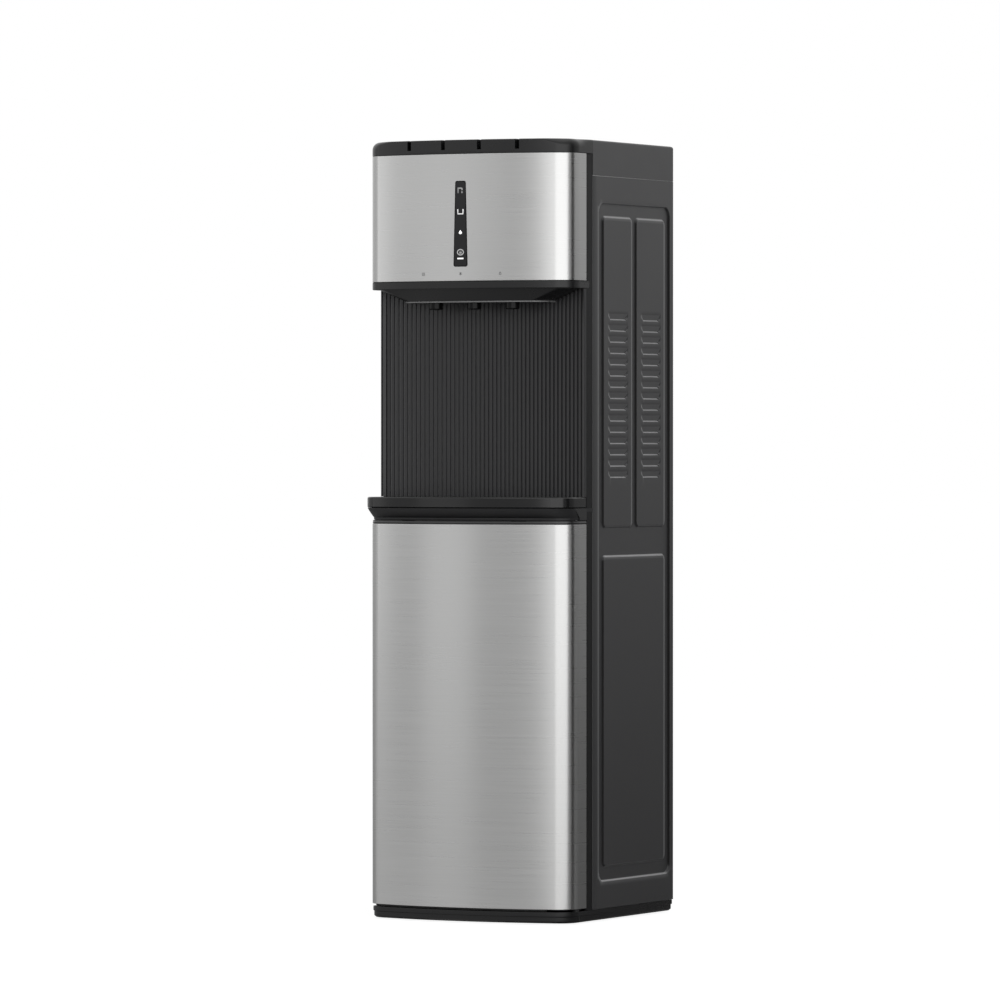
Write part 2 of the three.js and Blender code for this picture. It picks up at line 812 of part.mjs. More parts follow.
piece(
  cabinet,
  "magnet_catch",
  join(
    box(
      catchX - catchWidth / 2 + 3,
      catchX + catchWidth / 2 - 3,
      linerRearY + fit + catchPlate + 0.6,
      linerRearY + fit + catchPlate + 0.6 + catchDepth,
      catchZ - catchHeight,
      midBottom - 2,
    ),
    box(catchX - 5, catchX + 5, postFrontY + 2, postFrontY + 7.5, midBottom - 3, midBottom + 2 - fit),
  ),
  rubberBlack(),
);

// ---------------------------------------------------------------- ribbed niche wall

const wallRadius = 1100; // the wall is hollow towards the user
const wallThickness = 2.5;
const wallHalf = postInnerX - fit;
const ribCount = 47;
const ribMargin = 1.7; // end of the wall to the first rib
const ribPitch = (2 * (wallHalf - ribMargin)) / (ribCount - 1 / 3);
const ribFoot = (ribPitch * 2) / 3;
const ribFace = ribPitch / 2;
const ribHeight = 1.8;
const wallTop = bandBottom + 2;
const rearGap = 0.6; // from the ribs to the tray and the nozzle housing

function wallFrontY(x) {
  return postFrontY + Math.sqrt(wallRadius ** 2 - x ** 2) - Math.sqrt(wallRadius ** 2 - wallHalf ** 2);
}

function ribTipY(x) {
  return wallFrontY(x) - ribHeight - rearGap;
}

function makeNicheWall() {
  const front = [[-wallHalf, wallFrontY(wallHalf)]];
  for (let k = 0; k < ribCount; k++) {
    const x = (k - (ribCount - 1) / 2) * ribPitch;
    const y = wallFrontY(x);
    front.push([x - ribFoot / 2, y], [x - ribFace / 2, y - ribHeight], [x + ribFace / 2, y - ribHeight], [x + ribFoot / 2, y]);
  }
  front.push([wallHalf, wallFrontY(wallHalf)]);
  const rear = [];
  const steps = 8;
  for (let i = 0; i <= steps; i++) {
    const x = wallHalf - (2 * wallHalf * i) / steps;
    rear.push([x, wallFrontY(x) + wallThickness]);
  }
  return prismZ([...front, ...rear], trayBottom, wallTop);
}

piece(cabinet, "niche_wall", makeNicheWall(), blackPlastic());

// ---------------------------------------------------------------- drip tray and grille

const tray = group();

const trayWall = 2.2;
const trayFloor = 2.2;
const trayEdge = 1.2;
const grilleThickness = 2;
const ledgeWidth = 3.5;
const slotWidth = 8;
const slotPitch = 20;
const slotCount = 11;
const slotBar = 7; // bar left between the front and rear rows of slots
const slotMargin = 9;

function trayOutline(inset) {
  return planOutline({ inset, forward: trayReach, rearOf: (x) => ribTipY(x) - inset });
}

function makeTray() {
  const outer = lofted([
    level(trayOutline(trayEdge), trayBottom),
    level(trayOutline(0), trayBottom + trayEdge),
    level(trayOutline(0), trayTop - trayEdge),
    level(trayOutline(trayEdge), trayTop),
  ]);
  const ledgeZ = trayTop - grilleThickness - fit;
  const rebate = prismZ(trayOutline(trayWall), ledgeZ, trayTop + 1);
  const basin = lofted([
    level(trayOutline(trayWall + ledgeWidth + 4), trayBottom + trayFloor),
    level(trayOutline(trayWall + ledgeWidth), ledgeZ + 1),
  ]);
  return cut(outer, rebate, basin);
}

function makeGrille() {
  const z0 = trayTop - grilleThickness;
  const plate = prismZ(trayOutline(trayWall + fit), z0, trayTop);
  const slots = [];
  for (let k = 0; k < slotCount; k++) {
    const x = (k - (slotCount - 1) / 2) * slotPitch;
    const bowY = apexY - trayReach + bowRadius - Math.sqrt(bowRadius ** 2 - x ** 2);
    const y0 = bowY + slotMargin + trayWall;
    const y1 = ribTipY(x) - slotMargin;
    const middle = (y0 + y1) / 2;
    for (const [a, b] of [[y0, middle - slotBar / 2], [middle + slotBar / 2, y1]]) {
      slots.push(box(x - slotWidth / 2, x + slotWidth / 2, a, b, z0 - 1, trayTop + 1));
    }
  }
  return cut(plate, ...slots);
}

piece(tray, "drip_tray", makeTray(), blackPlastic());
piece(tray, "drip_grille", makeGrille(), blackPlastic());

// ---------------------------------------------------------------- nozzle housing and nozzles

const head = group();

const lipHalf = halfWidth - 49;
const lipApexSet = 21; // crest of the bow to the front of the lip
const lipBow = 440;
const lipCorner = 20;
const nozzlePitch = 58;
const nozzleSet = 40; // crest of the bow to the nozzles
const nozzleRadius = 9.5;
const nozzleBore = 4;
const nozzleDrop = 8;
const nozzleFlange = 12.5;
const nozzleY = apexY + nozzleSet;
const nozzlePlaces = { nozzle_hot: -nozzlePitch, nozzle_cold: 0, nozzle_room: nozzlePitch };

function hopperRing(share, inset, z) {
  const mix = (wide, narrow) => wide + (narrow - wide) * share;
  return level(
    planOutline({
      inset,
      half: mix(halfWidth, lipHalf),
      apex: mix(apexY, apexY + lipApexSet),
      bow: mix(bowRadius, lipBow),
      corner: mix(cornerRadius, lipCorner),
      rearOf: (x) => ribTipY(x) - fit - inset,
    }),
    z,
  );
}

function makeNozzleHousing() {
  const wall = moulding;
  const outer = lofted([
    hopperRing(1, 0, lipZ),
    hopperRing(0.55, 0, lipZ + hopperDrop * 0.36),
    hopperRing(0, 0, bandBottom),
    hopperRing(0, 0, bandTop - fit),
  ]);
  const inner = lofted([
    hopperRing(1, wall, lipZ + wall),
    hopperRing(0.55, wall, lipZ + hopperDrop * 0.36 + wall),
    hopperRing(0, wall, bandBottom + wall),
    hopperRing(0, wall, bandTop + 1),
  ]);
  let made = cut(outer, inner);
  for (const x of Object.values(nozzlePlaces)) {
    made = cut(made, rod(nozzleRadius + fit, x, nozzleY, lipZ - 1, lipZ + wall + 1, 20));
  }
  return made;
}

function makeNozzle() {
  const edge = 1.4;
  const seat = lipZ + moulding + fit;
  const foot = lipZ - nozzleDrop;
  return turned(
    [
      [nozzleBore, foot],
      [nozzleRadius - edge, foot],
      [nozzleRadius, foot + edge],
      [nozzleRadius, seat],
      [nozzleFlange, seat],
      [nozzleFlange, seat + moulding],
      [nozzleBore, seat + moulding],
      [nozzleBore, foot],
    ],
    14,
  );
}

piece(head, "nozzle_housing", makeNozzleHousing(), blackPlastic());
for (const [name, x] of Object.entries(nozzlePlaces)) {
  piece(head, name, makeNozzle(), blackPlastic(), [x, nozzleY, 0]);
}

// ---------------------------------------------------------------- fascia and display

const lensHeight = 115;
const lensTopWidth = 15.7;
const lensFootWidth = 20.9;
const lensCorner = 4;
const lensBelowCap = 36.5;
const lensProud = 0.3;
const lensDepth = 3;
const carrierWall = 3;
const lensTop = capBottom - lensBelowCap;
const lensFoot = lensTop - lensHeight;

// Tall window that widens downwards, with round corners.
function lensOutline(grow) {
  const points = [];
  const corners = [
    [lensFootWidth / 2, lensFoot, -Math.PI / 2, 1],
    [lensTopWidth / 2, lensTop, 0, -1],
    [-lensTopWidth / 2, lensTop, Math.PI / 2, -1],
    [-lensFootWidth / 2, lensFoot, Math.PI, 1],
  ];
  const steps = 4;
  for (const [x, z, start, up] of corners) {
    for (let i = 0; i <= steps; i++) {
      const angle = start + (i / steps) * (Math.PI / 2);
      const r = lensCorner + grow;
      points.push([x - Math.sign(x) * lensCorner + r * Math.cos(angle), z + up * lensCorner + r * Math.sin(angle)]);
    }
  }
  return points;
}

function makeFasciaSkin() {
  const outer = prismZ(planOutline(), bandTop, capBottom - seam);
  const inner = prismZ(planOutline({ inset: skinSheet, rear: doorRearY + 1 }), bandTop - 1, capBottom + 1);
  return cut(outer, inner, prismY(lensOutline(0.2), apexY - 5, apexY + 5));
}

const keyDeckDrop = 9; // top of the fascia to the shelf that carries the key switches
const deckReach = 45;

function makeFasciaCarrier() {
  const z0 = bandTop + fit;
  const z1 = capBottom - fit;
  const outer = prismZ(planOutline({ inset: linerInset, rear: doorRearY - fit }), z0, z1);
  const inner = prismZ(planOutline({ inset: linerInset + carrierWall, rear: doorRearY + 1 }), z0 - 1, z1 + 1);
  const deckZ0 = capBottom - keyDeckDrop;
  const reach = box(-halfWidth, halfWidth, apexY, apexY + deckReach, deckZ0 - carrierWall, deckZ0);
  const shelf = prismZ(planOutline({ inset: linerInset + 1 }), deckZ0 - carrierWall, deckZ0);
  return cut(join(cut(outer, inner), shelf.intersect(reach)), prismY(lensOutline(0.2), apexY - 5, apexY + 20));
}

piece(head, "fascia_skin", makeFasciaSkin(), brushedSteel());
piece(head, "fascia_carrier", makeFasciaCarrier(), blackPlastic());
piece(head, "display_lens", prismY(lensOutline(0), apexY - lensProud, apexY + lensDepth), glossBlack());

const boardWidth = 44;
const boardThickness = 1.6;
const boardHeight = 126;
const boardY = apexY + linerInset + carrierWall + 1.2;

function makeDisplayBoard() {
  const middle = (lensTop + lensFoot) / 2;
  const pillar = 3;
  let made = box(
    -boardWidth / 2,
    boardWidth / 2,
    boardY,
    boardY + boardThickness,
    middle - boardHeight / 2,
    middle + boardHeight / 2,
  );
  for (const z of [lensFoot + 12, lensTop - 12]) {
    made = join(made, box(-pillar, pillar, apexY + lensDepth + fit, boardY + 0.5, z - pillar, z + pillar));
  }
  return made;
}

piece(head, "display_board", makeDisplayBoard(), greenBoard());

// ---------------------------------------------------------------- front cap, keys, rear cover

const capCorner = 13; // round top corners, seen from the front
const capEdge = 2.5; // round front edge
const keyWidth = 48.4;
const keyGap = 5.9;
const keySill = 8; // wall left under the keys
const keyReach = 23;
const keyTravel = 1.2;
const keyFit = 0.4;
const keyCount = 3;
const windowHalf = (keyCount * keyWidth + (keyCount + 1) * keyGap) / 2;
const sillZ = capBottom + keySill;
const keyNames = ["key_hot", "key_cold", "key_room"];

// The cap's body above the fascia, drawn in by inset on all its outer faces.
function capBody(inset, z0, rear) {
  const top = topZ - inset;
  const crown = lofted([
    level(planOutline({ inset, rear }), z0),
    level(planOutline({ inset, rear }), top - capEdge),
    level(planOutline({ inset: inset + capEdge * 0.3, rear }), top - capEdge * 0.3),
    level(planOutline({ inset: inset + capEdge, rear }), top),
  ]);
  const h = halfWidth - inset;
  const r = capCorner - inset;
  const steps = 6;
  const face = [[-h, z0 - 5], [h, z0 - 5]];
  for (let i = 0; i <= steps; i++) {
    const angle = (i / steps) * (Math.PI / 2);
    face.push([h - r + r * Math.cos(angle), top - r + r * Math.sin(angle)]);
  }
  for (let i = 0; i <= steps; i++) {
    const angle = Math.PI / 2 + (i / steps) * (Math.PI / 2);
    face.push([r - h + r * Math.cos(angle), top - r + r * Math.sin(angle)]);
  }
  return crown.intersect(prismY(face, apexY - 10, rear + 1));
}

function makeFrontCap() {
  const shell = cut(capBody(0, capBottom, postRearY), capBody(moulding, capBottom - 1, postRearY + 5));
  const window = box(-windowHalf, windowHalf, apexY - 5, apexY + keyReach, sillZ, topZ + 5);
  const backWall = box(
    -windowHalf - moulding,
    windowHalf + moulding,
    apexY + keyReach,
    apexY + keyReach + moulding,
    capBottom + 6,
    topZ - moulding / 2,
  );
  return join(cut(shell, window), backWall);
}

function makeKey(middle) {
  const [x0, x1] = [middle - keyWidth / 2, middle + keyWidth / 2];
  const rear = apexY + keyReach - keyFit;
  const slice = (a, b, y1, z0, z1) => box(a, b, apexY - 5, y1, z0, z1);
  const seat = sillZ + keyTravel + 0.2;
  const face = capBody(0.2, capBottom - 8, postRearY).intersect(slice(x0, x1, rear, seat, topZ + 5));
  const skirtInset = moulding + 2 * keyFit;
  const skirt = capBody(skirtInset, capBottom - 8, postRearY).intersect(
    slice(x0 + keyFit, x1 - keyFit, rear, capBottom + 1.6, seat + 1),
  );
  const wall = 2;
  const hollow = box(x0 + keyFit + wall, x1 - keyFit - wall, apexY + 9, rear - wall, capBottom, topZ - 4);
  const stalk = box(middle - 3, middle + 3, apexY + 12, apexY + 18, capBottom + 0.6, topZ - 3);
  return join(cut(join(face, skirt), hollow), stalk);
}

piece(head, "front_cap", makeFrontCap(), blackPlastic());
const keys = group(head);
keyNames.forEach((name, k) => {
  const middle = (k - (keyCount - 1) / 2) * (keyWidth + keyGap);
  piece(keys, name, makeKey(middle), blackPlastic());
  const switchTop = capBottom + 0.6 - keyTravel - 0.3;
  const deckTop = capBottom - keyDeckDrop + 0.1;
  piece(
    head,
    name.replace("key", "switch"),
    join(
      box(middle - 6, middle + 6, apexY + 9, apexY + 21, deckTop, deckTop + 4),
      rod(2.5, middle, apexY + 15, deckTop + 3, switchTop, 12),
    ),
    darkPaint(),
  );
});

const coverEdge = 3;

function coverRing(inset, z) {
  const front = postRearY + seam + (inset > 0 ? 0 : 0);
  return [
    [-halfWidth + inset, front, z],
    [halfWidth - inset, front, z],
    [halfWidth - inset, rearY - inset, z],
    [-halfWidth + inset, rearY - inset, z],
  ];
}

function makeTopCover() {
  const outer = lofted([
    coverRing(0, skirtZ),
    coverRing(0, topZ - coverEdge),
    coverRing(coverEdge * 0.3, topZ - coverEdge * 0.3),
    coverRing(coverEdge, topZ),
  ]);
  const inner = box(
    -halfWidth + moulding,
    halfWidth - moulding,
    postRearY,
    rearY - moulding,
    skirtZ - 1,
    topZ - moulding,
  );
  const ribs = [];
  for (const x of [-halfWidth / 3, halfWidth / 3]) {
    ribs.push(box(x - 1, x + 1, postRearY + seam + 4, rearY - moulding - 4, topZ - moulding - 5, topZ - moulding + 1));
  }
  return join(cut(outer, inner), ...ribs);
}

piece(head, "top_cover", makeTopCover(), greyPaint());

// ---------------------------------------------------------------- water side: tanks, pump, tubes

const works = group();

const deckTop = deckZ + shelfSheet;
const shelfTop = shelfZ + shelfSheet;
const standGap = 0.1; // under a piece that stands on a sheet
const tankGap = 8; // between the tanks, and between them and the louvres
const coldShare = 7 / 11; // of the width that both tanks fill
const coldTankSet = 35; // from the deck's rear rim
const hotTankSet = 46; // from its front rim
const tankHeadroom = 11; // from the tanks to the foot of the cover's skirt
const tanksHalf = halfWidth - sheet - frameDepth - louvreDepth - tankGap;
const coldRadius = coldShare * (tanksHalf - tankGap / 2);
const hotRadius = (1 - coldShare) * (tanksHalf - tankGap / 2);
const coldHeight = skirtZ - tankHeadroom - deckTop;
const coldTank = {
  x: tanksHalf - coldRadius,
  y: shelfRearY - coldTankSet - coldRadius,
  radius: coldRadius,
  height: coldHeight,
  dome: coldRadius / 8,
};
const hotTank = {
  x: hotRadius - tanksHalf,
  y: shelfFrontY + hotTankSet + hotRadius,
  radius: hotRadius,
  height: coldHeight * 0.89,
  dome: hotRadius / 5.5,
};

function makeTank({ radius, height, dome }) {
  return turned(
    [
      [0, 0],
      [radius - dome, 0],
      [radius - dome * 0.3, dome * 0.3],
      [radius, dome],
      [radius, height - dome],
      [radius - dome * 0.3, height - dome * 0.3],
      [radius - dome, height],
      [radius * 0.25, height + dome * 0.5],
      [0, height + dome * 0.5],
    ],
    20,
  );
}

piece(works, "cold_tank", makeTank(coldTank), paleFoam(), [coldTank.x, coldTank.y, deckTop + standGap]);
piece(works, "hot_tank", makeTank(hotTank), stainless(), [hotTank.x, hotTank.y, deckTop + standGap]);

const tubeRadius = 4.5;
const tubeBend = 12;
const tubeLevels = { hot: 24, cold: 24, room: 44 }; // above the band

// Where a tube that runs back at x ends, just short of a tank.
function tubeEndY(tank, x) {
  const across = Math.max(0, Math.abs(x - tank.x) - tubeRadius);
  return tank.y - Math.sqrt(tank.radius ** 2 - across ** 2) - 0.5;
}

// Silicone tube from a nozzle straight up, round a bend and back to a tank.
function makeOutletTube(x, z, y1) {
  const y0 = nozzleY;
  const z0 = lipZ + 2 * moulding + 2 * fit;
  const bend = [];
  const steps = 6;
  for (let i = 0; i <= steps; i++) {
    const angle = (i / steps) * (Math.PI / 2);
    bend.push(new THREE.Vector3(x, y0 + tubeBend - tubeBend * Math.cos(angle), z - tubeBend + tubeBend * Math.sin(angle)));
  }
  const points = [new THREE.Vector3(x, y0, z0), ...bend, new THREE.Vector3(x, y1, z)];
  return swept(points, tubeRadius, new THREE.Vector3(1, 0, 0), 8);
}

const tubeTanks = { hot: hotTank, cold: coldTank, room: coldTank };
for (const [water, tank] of Object.entries(tubeTanks)) {
  const x = nozzlePlaces[`nozzle_${water}`];
  const z = bandTop + tubeLevels[water];
  piece(works, `outlet_tube_${water}`, makeOutletTube(x, z, tubeEndY(tank, x)), clearSilicone());
}

const pumpRadius = 22;
const pumpLength = 68;
const pumpHead = 24;
const pumpFoot = 8;
const pumpPort = 4;
const pumpSet = 14; // from the shelf's front rim
const pumpX = 67 - halfWidth;

function makePump() {
  const axisZ = pumpRadius + 5;
  const headY = pumpLength - 1;
  const headTop = 2 * pumpRadius + pumpFoot;
  const motor = rodY(pumpRadius, 0, axisZ, 0, pumpLength, 16);
  const headBlock = box(-pumpRadius - 3, pumpRadius + 3, headY, pumpLength + pumpHead, 0, headTop);
  const foot = box(-pumpRadius, pumpRadius, pumpPort, pumpLength, 0, pumpFoot);
  const port = rod(pumpPort, 0, pumpLength + pumpHead / 2, headTop - 1, headTop + 3 * pumpPort, 10);
  return join(motor, headBlock, foot, port);
}

piece(works, "water_pump", makePump(), darkPaint(), [pumpX, shelfFrontY + pumpSet, shelfTop + standGap]);

// ---------------------------------------------------------------- cooling side

const compressorRadius = 56;
const compressorHeight = 132;
const compressorFoot = 8;
const compressorWeld = 68; // seam of its two shells, over the shelf
const compressorShoulder = 26;
const compressorSet = 92; // from the body's rear
const compressorX = halfWidth - 107;
const terminalHalf = 18;
const terminalFoot = 32;

function makeCompressor() {
  const radius = compressorRadius;
  const height = compressorHeight;
  const foot = compressorFoot;
  const shell = turned(
    [
      [0, foot],
      [radius * 0.72, foot],
      [radius * 0.94, foot * 2.5],
      [radius * 0.97, compressorWeld],
      [radius, compressorWeld + 2],
      [radius, compressorWeld + 6],
      [radius * 0.97, compressorWeld + 8],
      [radius * 0.93, height - compressorShoulder],
      [radius * 0.72, height - compressorShoulder * 0.3],
      [radius * 0.3, height],
      [0, height],
    ],
    16,
  );
  const plateHalf = radius * 1.2;
  const plate = prismZ(roundedRect(-plateHalf, plateHalf, -radius * 0.6, radius * 0.6, 10), foot - 2, foot + 2);
  const pads = [];
  for (const sx of [-1, 1]) {
    for (const sy of [-1, 1]) pads.push(rod(foot, sx * (radius + 1), sy * radius * 0.38, 0, foot + 1, 8));
  }
  const terminal = box(
    -radius * 1.17,
    -radius * 0.8,
    -terminalHalf,
    terminalHalf,
    terminalFoot,
    terminalFoot + 2 * terminalHalf,
  );
  return join(shell, plate, ...pads, terminal);
}

piece(works, "compressor", makeCompressor(), darkPaint(), [
  compressorX,
  rearY - compressorSet,
  shelfTop + standGap,
]);

const coilPasses = 6;
const coilPitch = 46;
const coilInset = 47; // from the sides to the ends of the passes
const coilHalf = halfWidth - coilInset;
const coilRadius = 2.5;
const coilFoot = 92; // shelf to the lowest pass
const wireCount = 7;
const wireThickness = 1.6;
const clipWidth = 10;

// Serpentine tube and the upright wires pressed onto it, as one grid.
function makeCondenser() {
  const y = rearY + condenserReach - wireThickness - coilRadius + 0.3;
  const z0 = shelfZ + coilFoot;
  const points = [];
  const bendSteps = 4;
  for (let i = 0; i < coilPasses; i++) {
    const side = i % 2 === 0 ? 1 : -1;
    const z = z0 + i * coilPitch;
    points.push(new THREE.Vector3(-side * coilHalf, y, z), new THREE.Vector3(side * coilHalf, y, z));
    for (let k = 1; i < coilPasses - 1 && k < bendSteps; k++) {
      const angle = -Math.PI / 2 + (k / bendSteps) * Math.PI;
      const r = coilPitch / 2;
      points.push(new THREE.Vector3(side * (coilHalf + r * Math.cos(angle)), y, z + r + r * Math.sin(angle)));
    }
  }
  const tube = swept(points, coilRadius / Math.cos(Math.PI / 6), new THREE.Vector3(0, 1, 0), 6);
  const low = z0 - 12;
  const high = z0 + (coilPasses - 1) * coilPitch + 12;
  const wires = [];
  const outer = rearY + condenserReach;
  for (let k = 0; k < wireCount; k++) {
    const x = (k - (wireCount - 1) / 2) * ((2 * coilHalf - 12) / (wireCount - 1));
    wires.push(box(x - wireThickness / 2, x + wireThickness / 2, outer - wireThickness, outer, low, high));
  }
  const clips = [];
  for (const x of [-coilHalf + 24, coilHalf - 24]) {
    for (const pass of [1, coilPasses - 2]) {
      const z = z0 + pass * coilPitch;
      clips.push(box(x - clipWidth / 2, x + clipWidth / 2, rearY + fit - rearPressDepth, y, z - 2, z + 2));
    }
  }
  return join(tube, ...wires, ...clips);
}

piece(works, "condenser_grid", makeCondenser(), darkPaint());

const controlBox = { x: 67 - halfWidth, width: 88, depth: 46, height: 104, set: 2 };

piece(
  works,
  "control_box",
  prismZ(
    roundedRect(-controlBox.width / 2, controlBox.width / 2, -controlBox.depth, 0, 4),
    0,
    controlBox.height,
  ),
  palePlastic(),
  [controlBox.x, shelfRearY - shelfSheet - controlBox.set, deckTop + standGap],
);

// ---------------------------------------------------------------- rear fittings

function makeSwitchPlate() {
  const { x, width, height, corner, proud, deep } = switchPlate;
  const plate = prismY(
    roundedRect(x - width / 2, x + width / 2, switchZ - height / 2, switchZ + height / 2, corner),
    rearY + 0.1,
    rearY + proud,
  );
  const body = box(
    x - width / 2 + 5,
    x + width / 2 - 5,
    rearY - deep,
    rearY + 1,
    switchZ - height / 2 + 4,
    switchZ + height / 2 - 4,
  );
  const windows = rockerPlaces.map((rx) =>
    box(
      rx - rockerWidth / 2 - 0.4,
      rx + rockerWidth / 2 + 0.4,
      rearY - deep + 2,
      rearY + proud + 1,
      switchZ - rockerHalf - 0.7,
      switchZ + rockerHalf + 0.7,
    ),
  );
  return cut(join(plate, body), ...windows);
}

const rockerWidth = 13.4;
const rockerHalf = 9.2;
const rockerTilt = 7;
const rockerSpacing = 22;
const rockerPlaces = [switchPlate.x - rockerSpacing / 2, switchPlate.x + rockerSpacing / 2];
const rockerAxisY = rearY - 2;

// Rocker about its pivot: two faces that meet in a shallow V.
function makeRocker() {
  const h = rockerHalf * 0.93;
  return prismX(
    [
      [-4, -h * 0.8],
      [-4, h * 0.8],
      [4.2, h],
      [2.9, 0],
      [4.2, -h],
    ],
    -rockerWidth / 2,
    rockerWidth / 2,
  );
}

piece(works, "switch_plate", makeSwitchPlate(), blackPlastic());
[["rocker_cold", bluePlastic()], ["rocker_hot", redPlastic()]].forEach(([name, material], i) => {
  const mesh = piece(works, name, makeRocker(), material, [rockerPlaces[i], rockerAxisY, switchZ]);
  mesh.rotation.x = THREE.MathUtils.degToRad(rockerTilt);
});

function makeGland() {
  const r = gland.radius;
  const made = turned(
    [
      [0, -8],
      [r - 1, -8],
      [r, -7],
      [r, 0.1],
      [r + 4, 0.1],
      [r + 4, 3],
      [r - 1, 8],
      [3.6, 9],
      [3.6, 1],
      [0, 1],
    ],
    12,
  );
  return moved(made, new THREE.Matrix4().makeRotationX(-Math.PI / 2));
}

piece(works, "power_gland", makeGland(), rubberBlack(), [gland.x, rearY, glandZ]);

const drainWall = 1.8;
const drainStub = 8;
const drainTail = 24;
const drainCapLength = 9;

function makeDrainOutlet() {
  const r = drain.radius;
  const collar = -sheet - fit;
  const profile = [
    [r - drainWall, -drainTail],
    [r, -drainTail],
    [r, collar - 2],
    [r + 4, collar - 2],
    [r + 4, collar],
    [r, collar],
    [r, drainStub],
    [r - drainWall, drainStub],
    [r - drainWall, -drainTail],
  ];
  return moved(turned(profile, 12), new THREE.Matrix4().makeRotationX(-Math.PI / 2));
}

function makeDrainCap() {
  const r = drain.radius;
  const bore = r + fit;
  const outer = bore + 2.4;
  const top = 0.6 + drainCapLength + 2;
  return moved(
    turned(
      [
        [bore, 0.6],
        [outer, 0.6],
        [outer, top - 1],
        [outer - 1, top],
        [0, top],
        [0, drainStub + fit],
        [bore, drainStub + fit],
        [bore, 0.6],
      ],
      12,
    ),
    new THREE.Matrix4().makeRotationX(-Math.PI / 2),
  );
}

piece(works, "drain_outlet", makeDrainOutlet(), blackPlastic(), [drain.x, rearY, drainZ]);
piece(works, "drain_cap", makeDrainCap(), blackPlastic(), [drain.x, rearY, drainZ]);

// ---------------------------------------------------------------- bottle bay

const bay = group();

const platformHalf = halfWidth - 17;
const platformHeight = 3;
const platformRearY = backPanelY - rearPressDepth - sheet - 2;
const platformFrontY = postRearY + 2;
const bottleRadius = platformHalf - 3;
const guideHeight = 7;
const guideWall = 2.5;
const bottleY = platformRearY - bottleRadius - 1.5;

// Plate on the plinth with two curved guides that steer the bottle to the middle.
function makePlatform() {
  const z0 = plinthTop + standGap;
  const plate = prismZ(roundedRect(-platformHalf, platformHalf, platformFrontY, platformRearY, 8), z0, z0 + platformHeight);
  const inner = bottleRadius + 1.2;
  const ring = shifted(
    turned(
      [
        [inner, z0 + 1],
        [inner + guideWall, z0 + 1],
        [inner + guideWall, z0 + guideHeight],
        [inner, z0 + guideHeight],
        [inner, z0 + 1],
      ],
      40,
    ),
    0,
    bottleY,
    0,
  );
  const keep = box(-platformHalf, platformHalf, bottleY - 40, platformRearY, z0, z0 + guideHeight + 1);
  const lane = box(-46, 46, bottleY, platformRearY + 1, z0 + platformHeight, z0 + guideHeight + 1);
  return join(plate, cut(ring.intersect(keep), lane));
}

piece(bay, "bottle_platform", makePlatform(), blackPlastic());

const lance = { x: 33 - halfWidth, radius: 5, length: 392, headRadius: 24, headHeight: 26 };
const lanceY = platformRearY - lance.headRadius - 2;
const lanceFootZ = plinthTop + standGap + platformHeight + 6;
const holderHalf = 4; // half the height of the arm that the lance's head rests on
const holderZ = lanceFootZ + lance.length - standGap - holderHalf;

// Steel suction pipe with a plastic stopper that seats in the bottle's neck.
function makeLance() {
  const { radius, length, headRadius, headHeight } = lance;
  return turned(
    [
      [0, 0],
      [radius - 1, 0],
      [radius, 2],
      [radius, length],
      [headRadius * 0.62, length],
      [headRadius * 0.78, length + headHeight * 0.55],
      [headRadius, length + headHeight * 0.6],
      [headRadius, length + headHeight],
      [headRadius * 0.4, length + headHeight + 2],
      [radius, length + headHeight + 14],
      [0, length + headHeight + 14],
    ],
    12,
  );
}

function makeLanceHolder() {
  const plateY = rearY - rearPressDepth - sheet - fit;
  const arm = box(lance.x - 9, lance.x + 9, lanceY - 9, plateY, holderZ - holderHalf, holderZ + holderHalf);
  const bore = rod(lance.radius + fit, lance.x, lanceY, holderZ - 5, holderZ + 5);
  const mouth = box(lance.x - lance.radius + 0.8, lance.x + lance.radius - 0.8, lanceY - 20, lanceY, holderZ - 5, holderZ + 5);
  const back = box(lance.x - 14, lance.x + 14, plateY - 2.5, plateY, holderZ - 14, holderZ + 14);
  return join(cut(arm, bore, mouth), back);
}

piece(bay, "suction_lance", makeLance(), stainless(), [lance.x, lanceY, lanceFootZ]);
piece(bay, "lance_holder", makeLanceHolder(), blackPlastic());

export default cooler;
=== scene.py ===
import math

import bpy
import numpy as np
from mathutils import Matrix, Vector


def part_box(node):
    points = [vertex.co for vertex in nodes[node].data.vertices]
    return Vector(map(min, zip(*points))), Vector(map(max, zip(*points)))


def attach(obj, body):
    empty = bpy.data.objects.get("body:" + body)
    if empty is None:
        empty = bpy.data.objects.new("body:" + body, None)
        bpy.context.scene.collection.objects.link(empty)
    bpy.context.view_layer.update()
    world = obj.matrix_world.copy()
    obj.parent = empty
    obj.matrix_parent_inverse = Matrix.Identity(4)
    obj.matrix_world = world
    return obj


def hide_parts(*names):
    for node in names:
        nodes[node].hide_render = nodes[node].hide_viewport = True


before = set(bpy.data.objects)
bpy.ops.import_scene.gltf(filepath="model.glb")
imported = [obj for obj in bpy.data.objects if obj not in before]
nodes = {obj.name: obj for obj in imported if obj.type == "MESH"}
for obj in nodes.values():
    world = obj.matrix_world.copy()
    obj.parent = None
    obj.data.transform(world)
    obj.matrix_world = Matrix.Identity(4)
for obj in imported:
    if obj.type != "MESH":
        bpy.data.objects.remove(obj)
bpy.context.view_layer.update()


# ------------------------------------------------------------------ camera
# The photograph was taken from the right front with a long lens at hip height, almost level.
camera_azimuth = math.radians(27.19)
camera_pitch = math.radians(0.46)
camera_spot = (4.33399, -8.48862, 0.64254)
camera_lens = 252.0

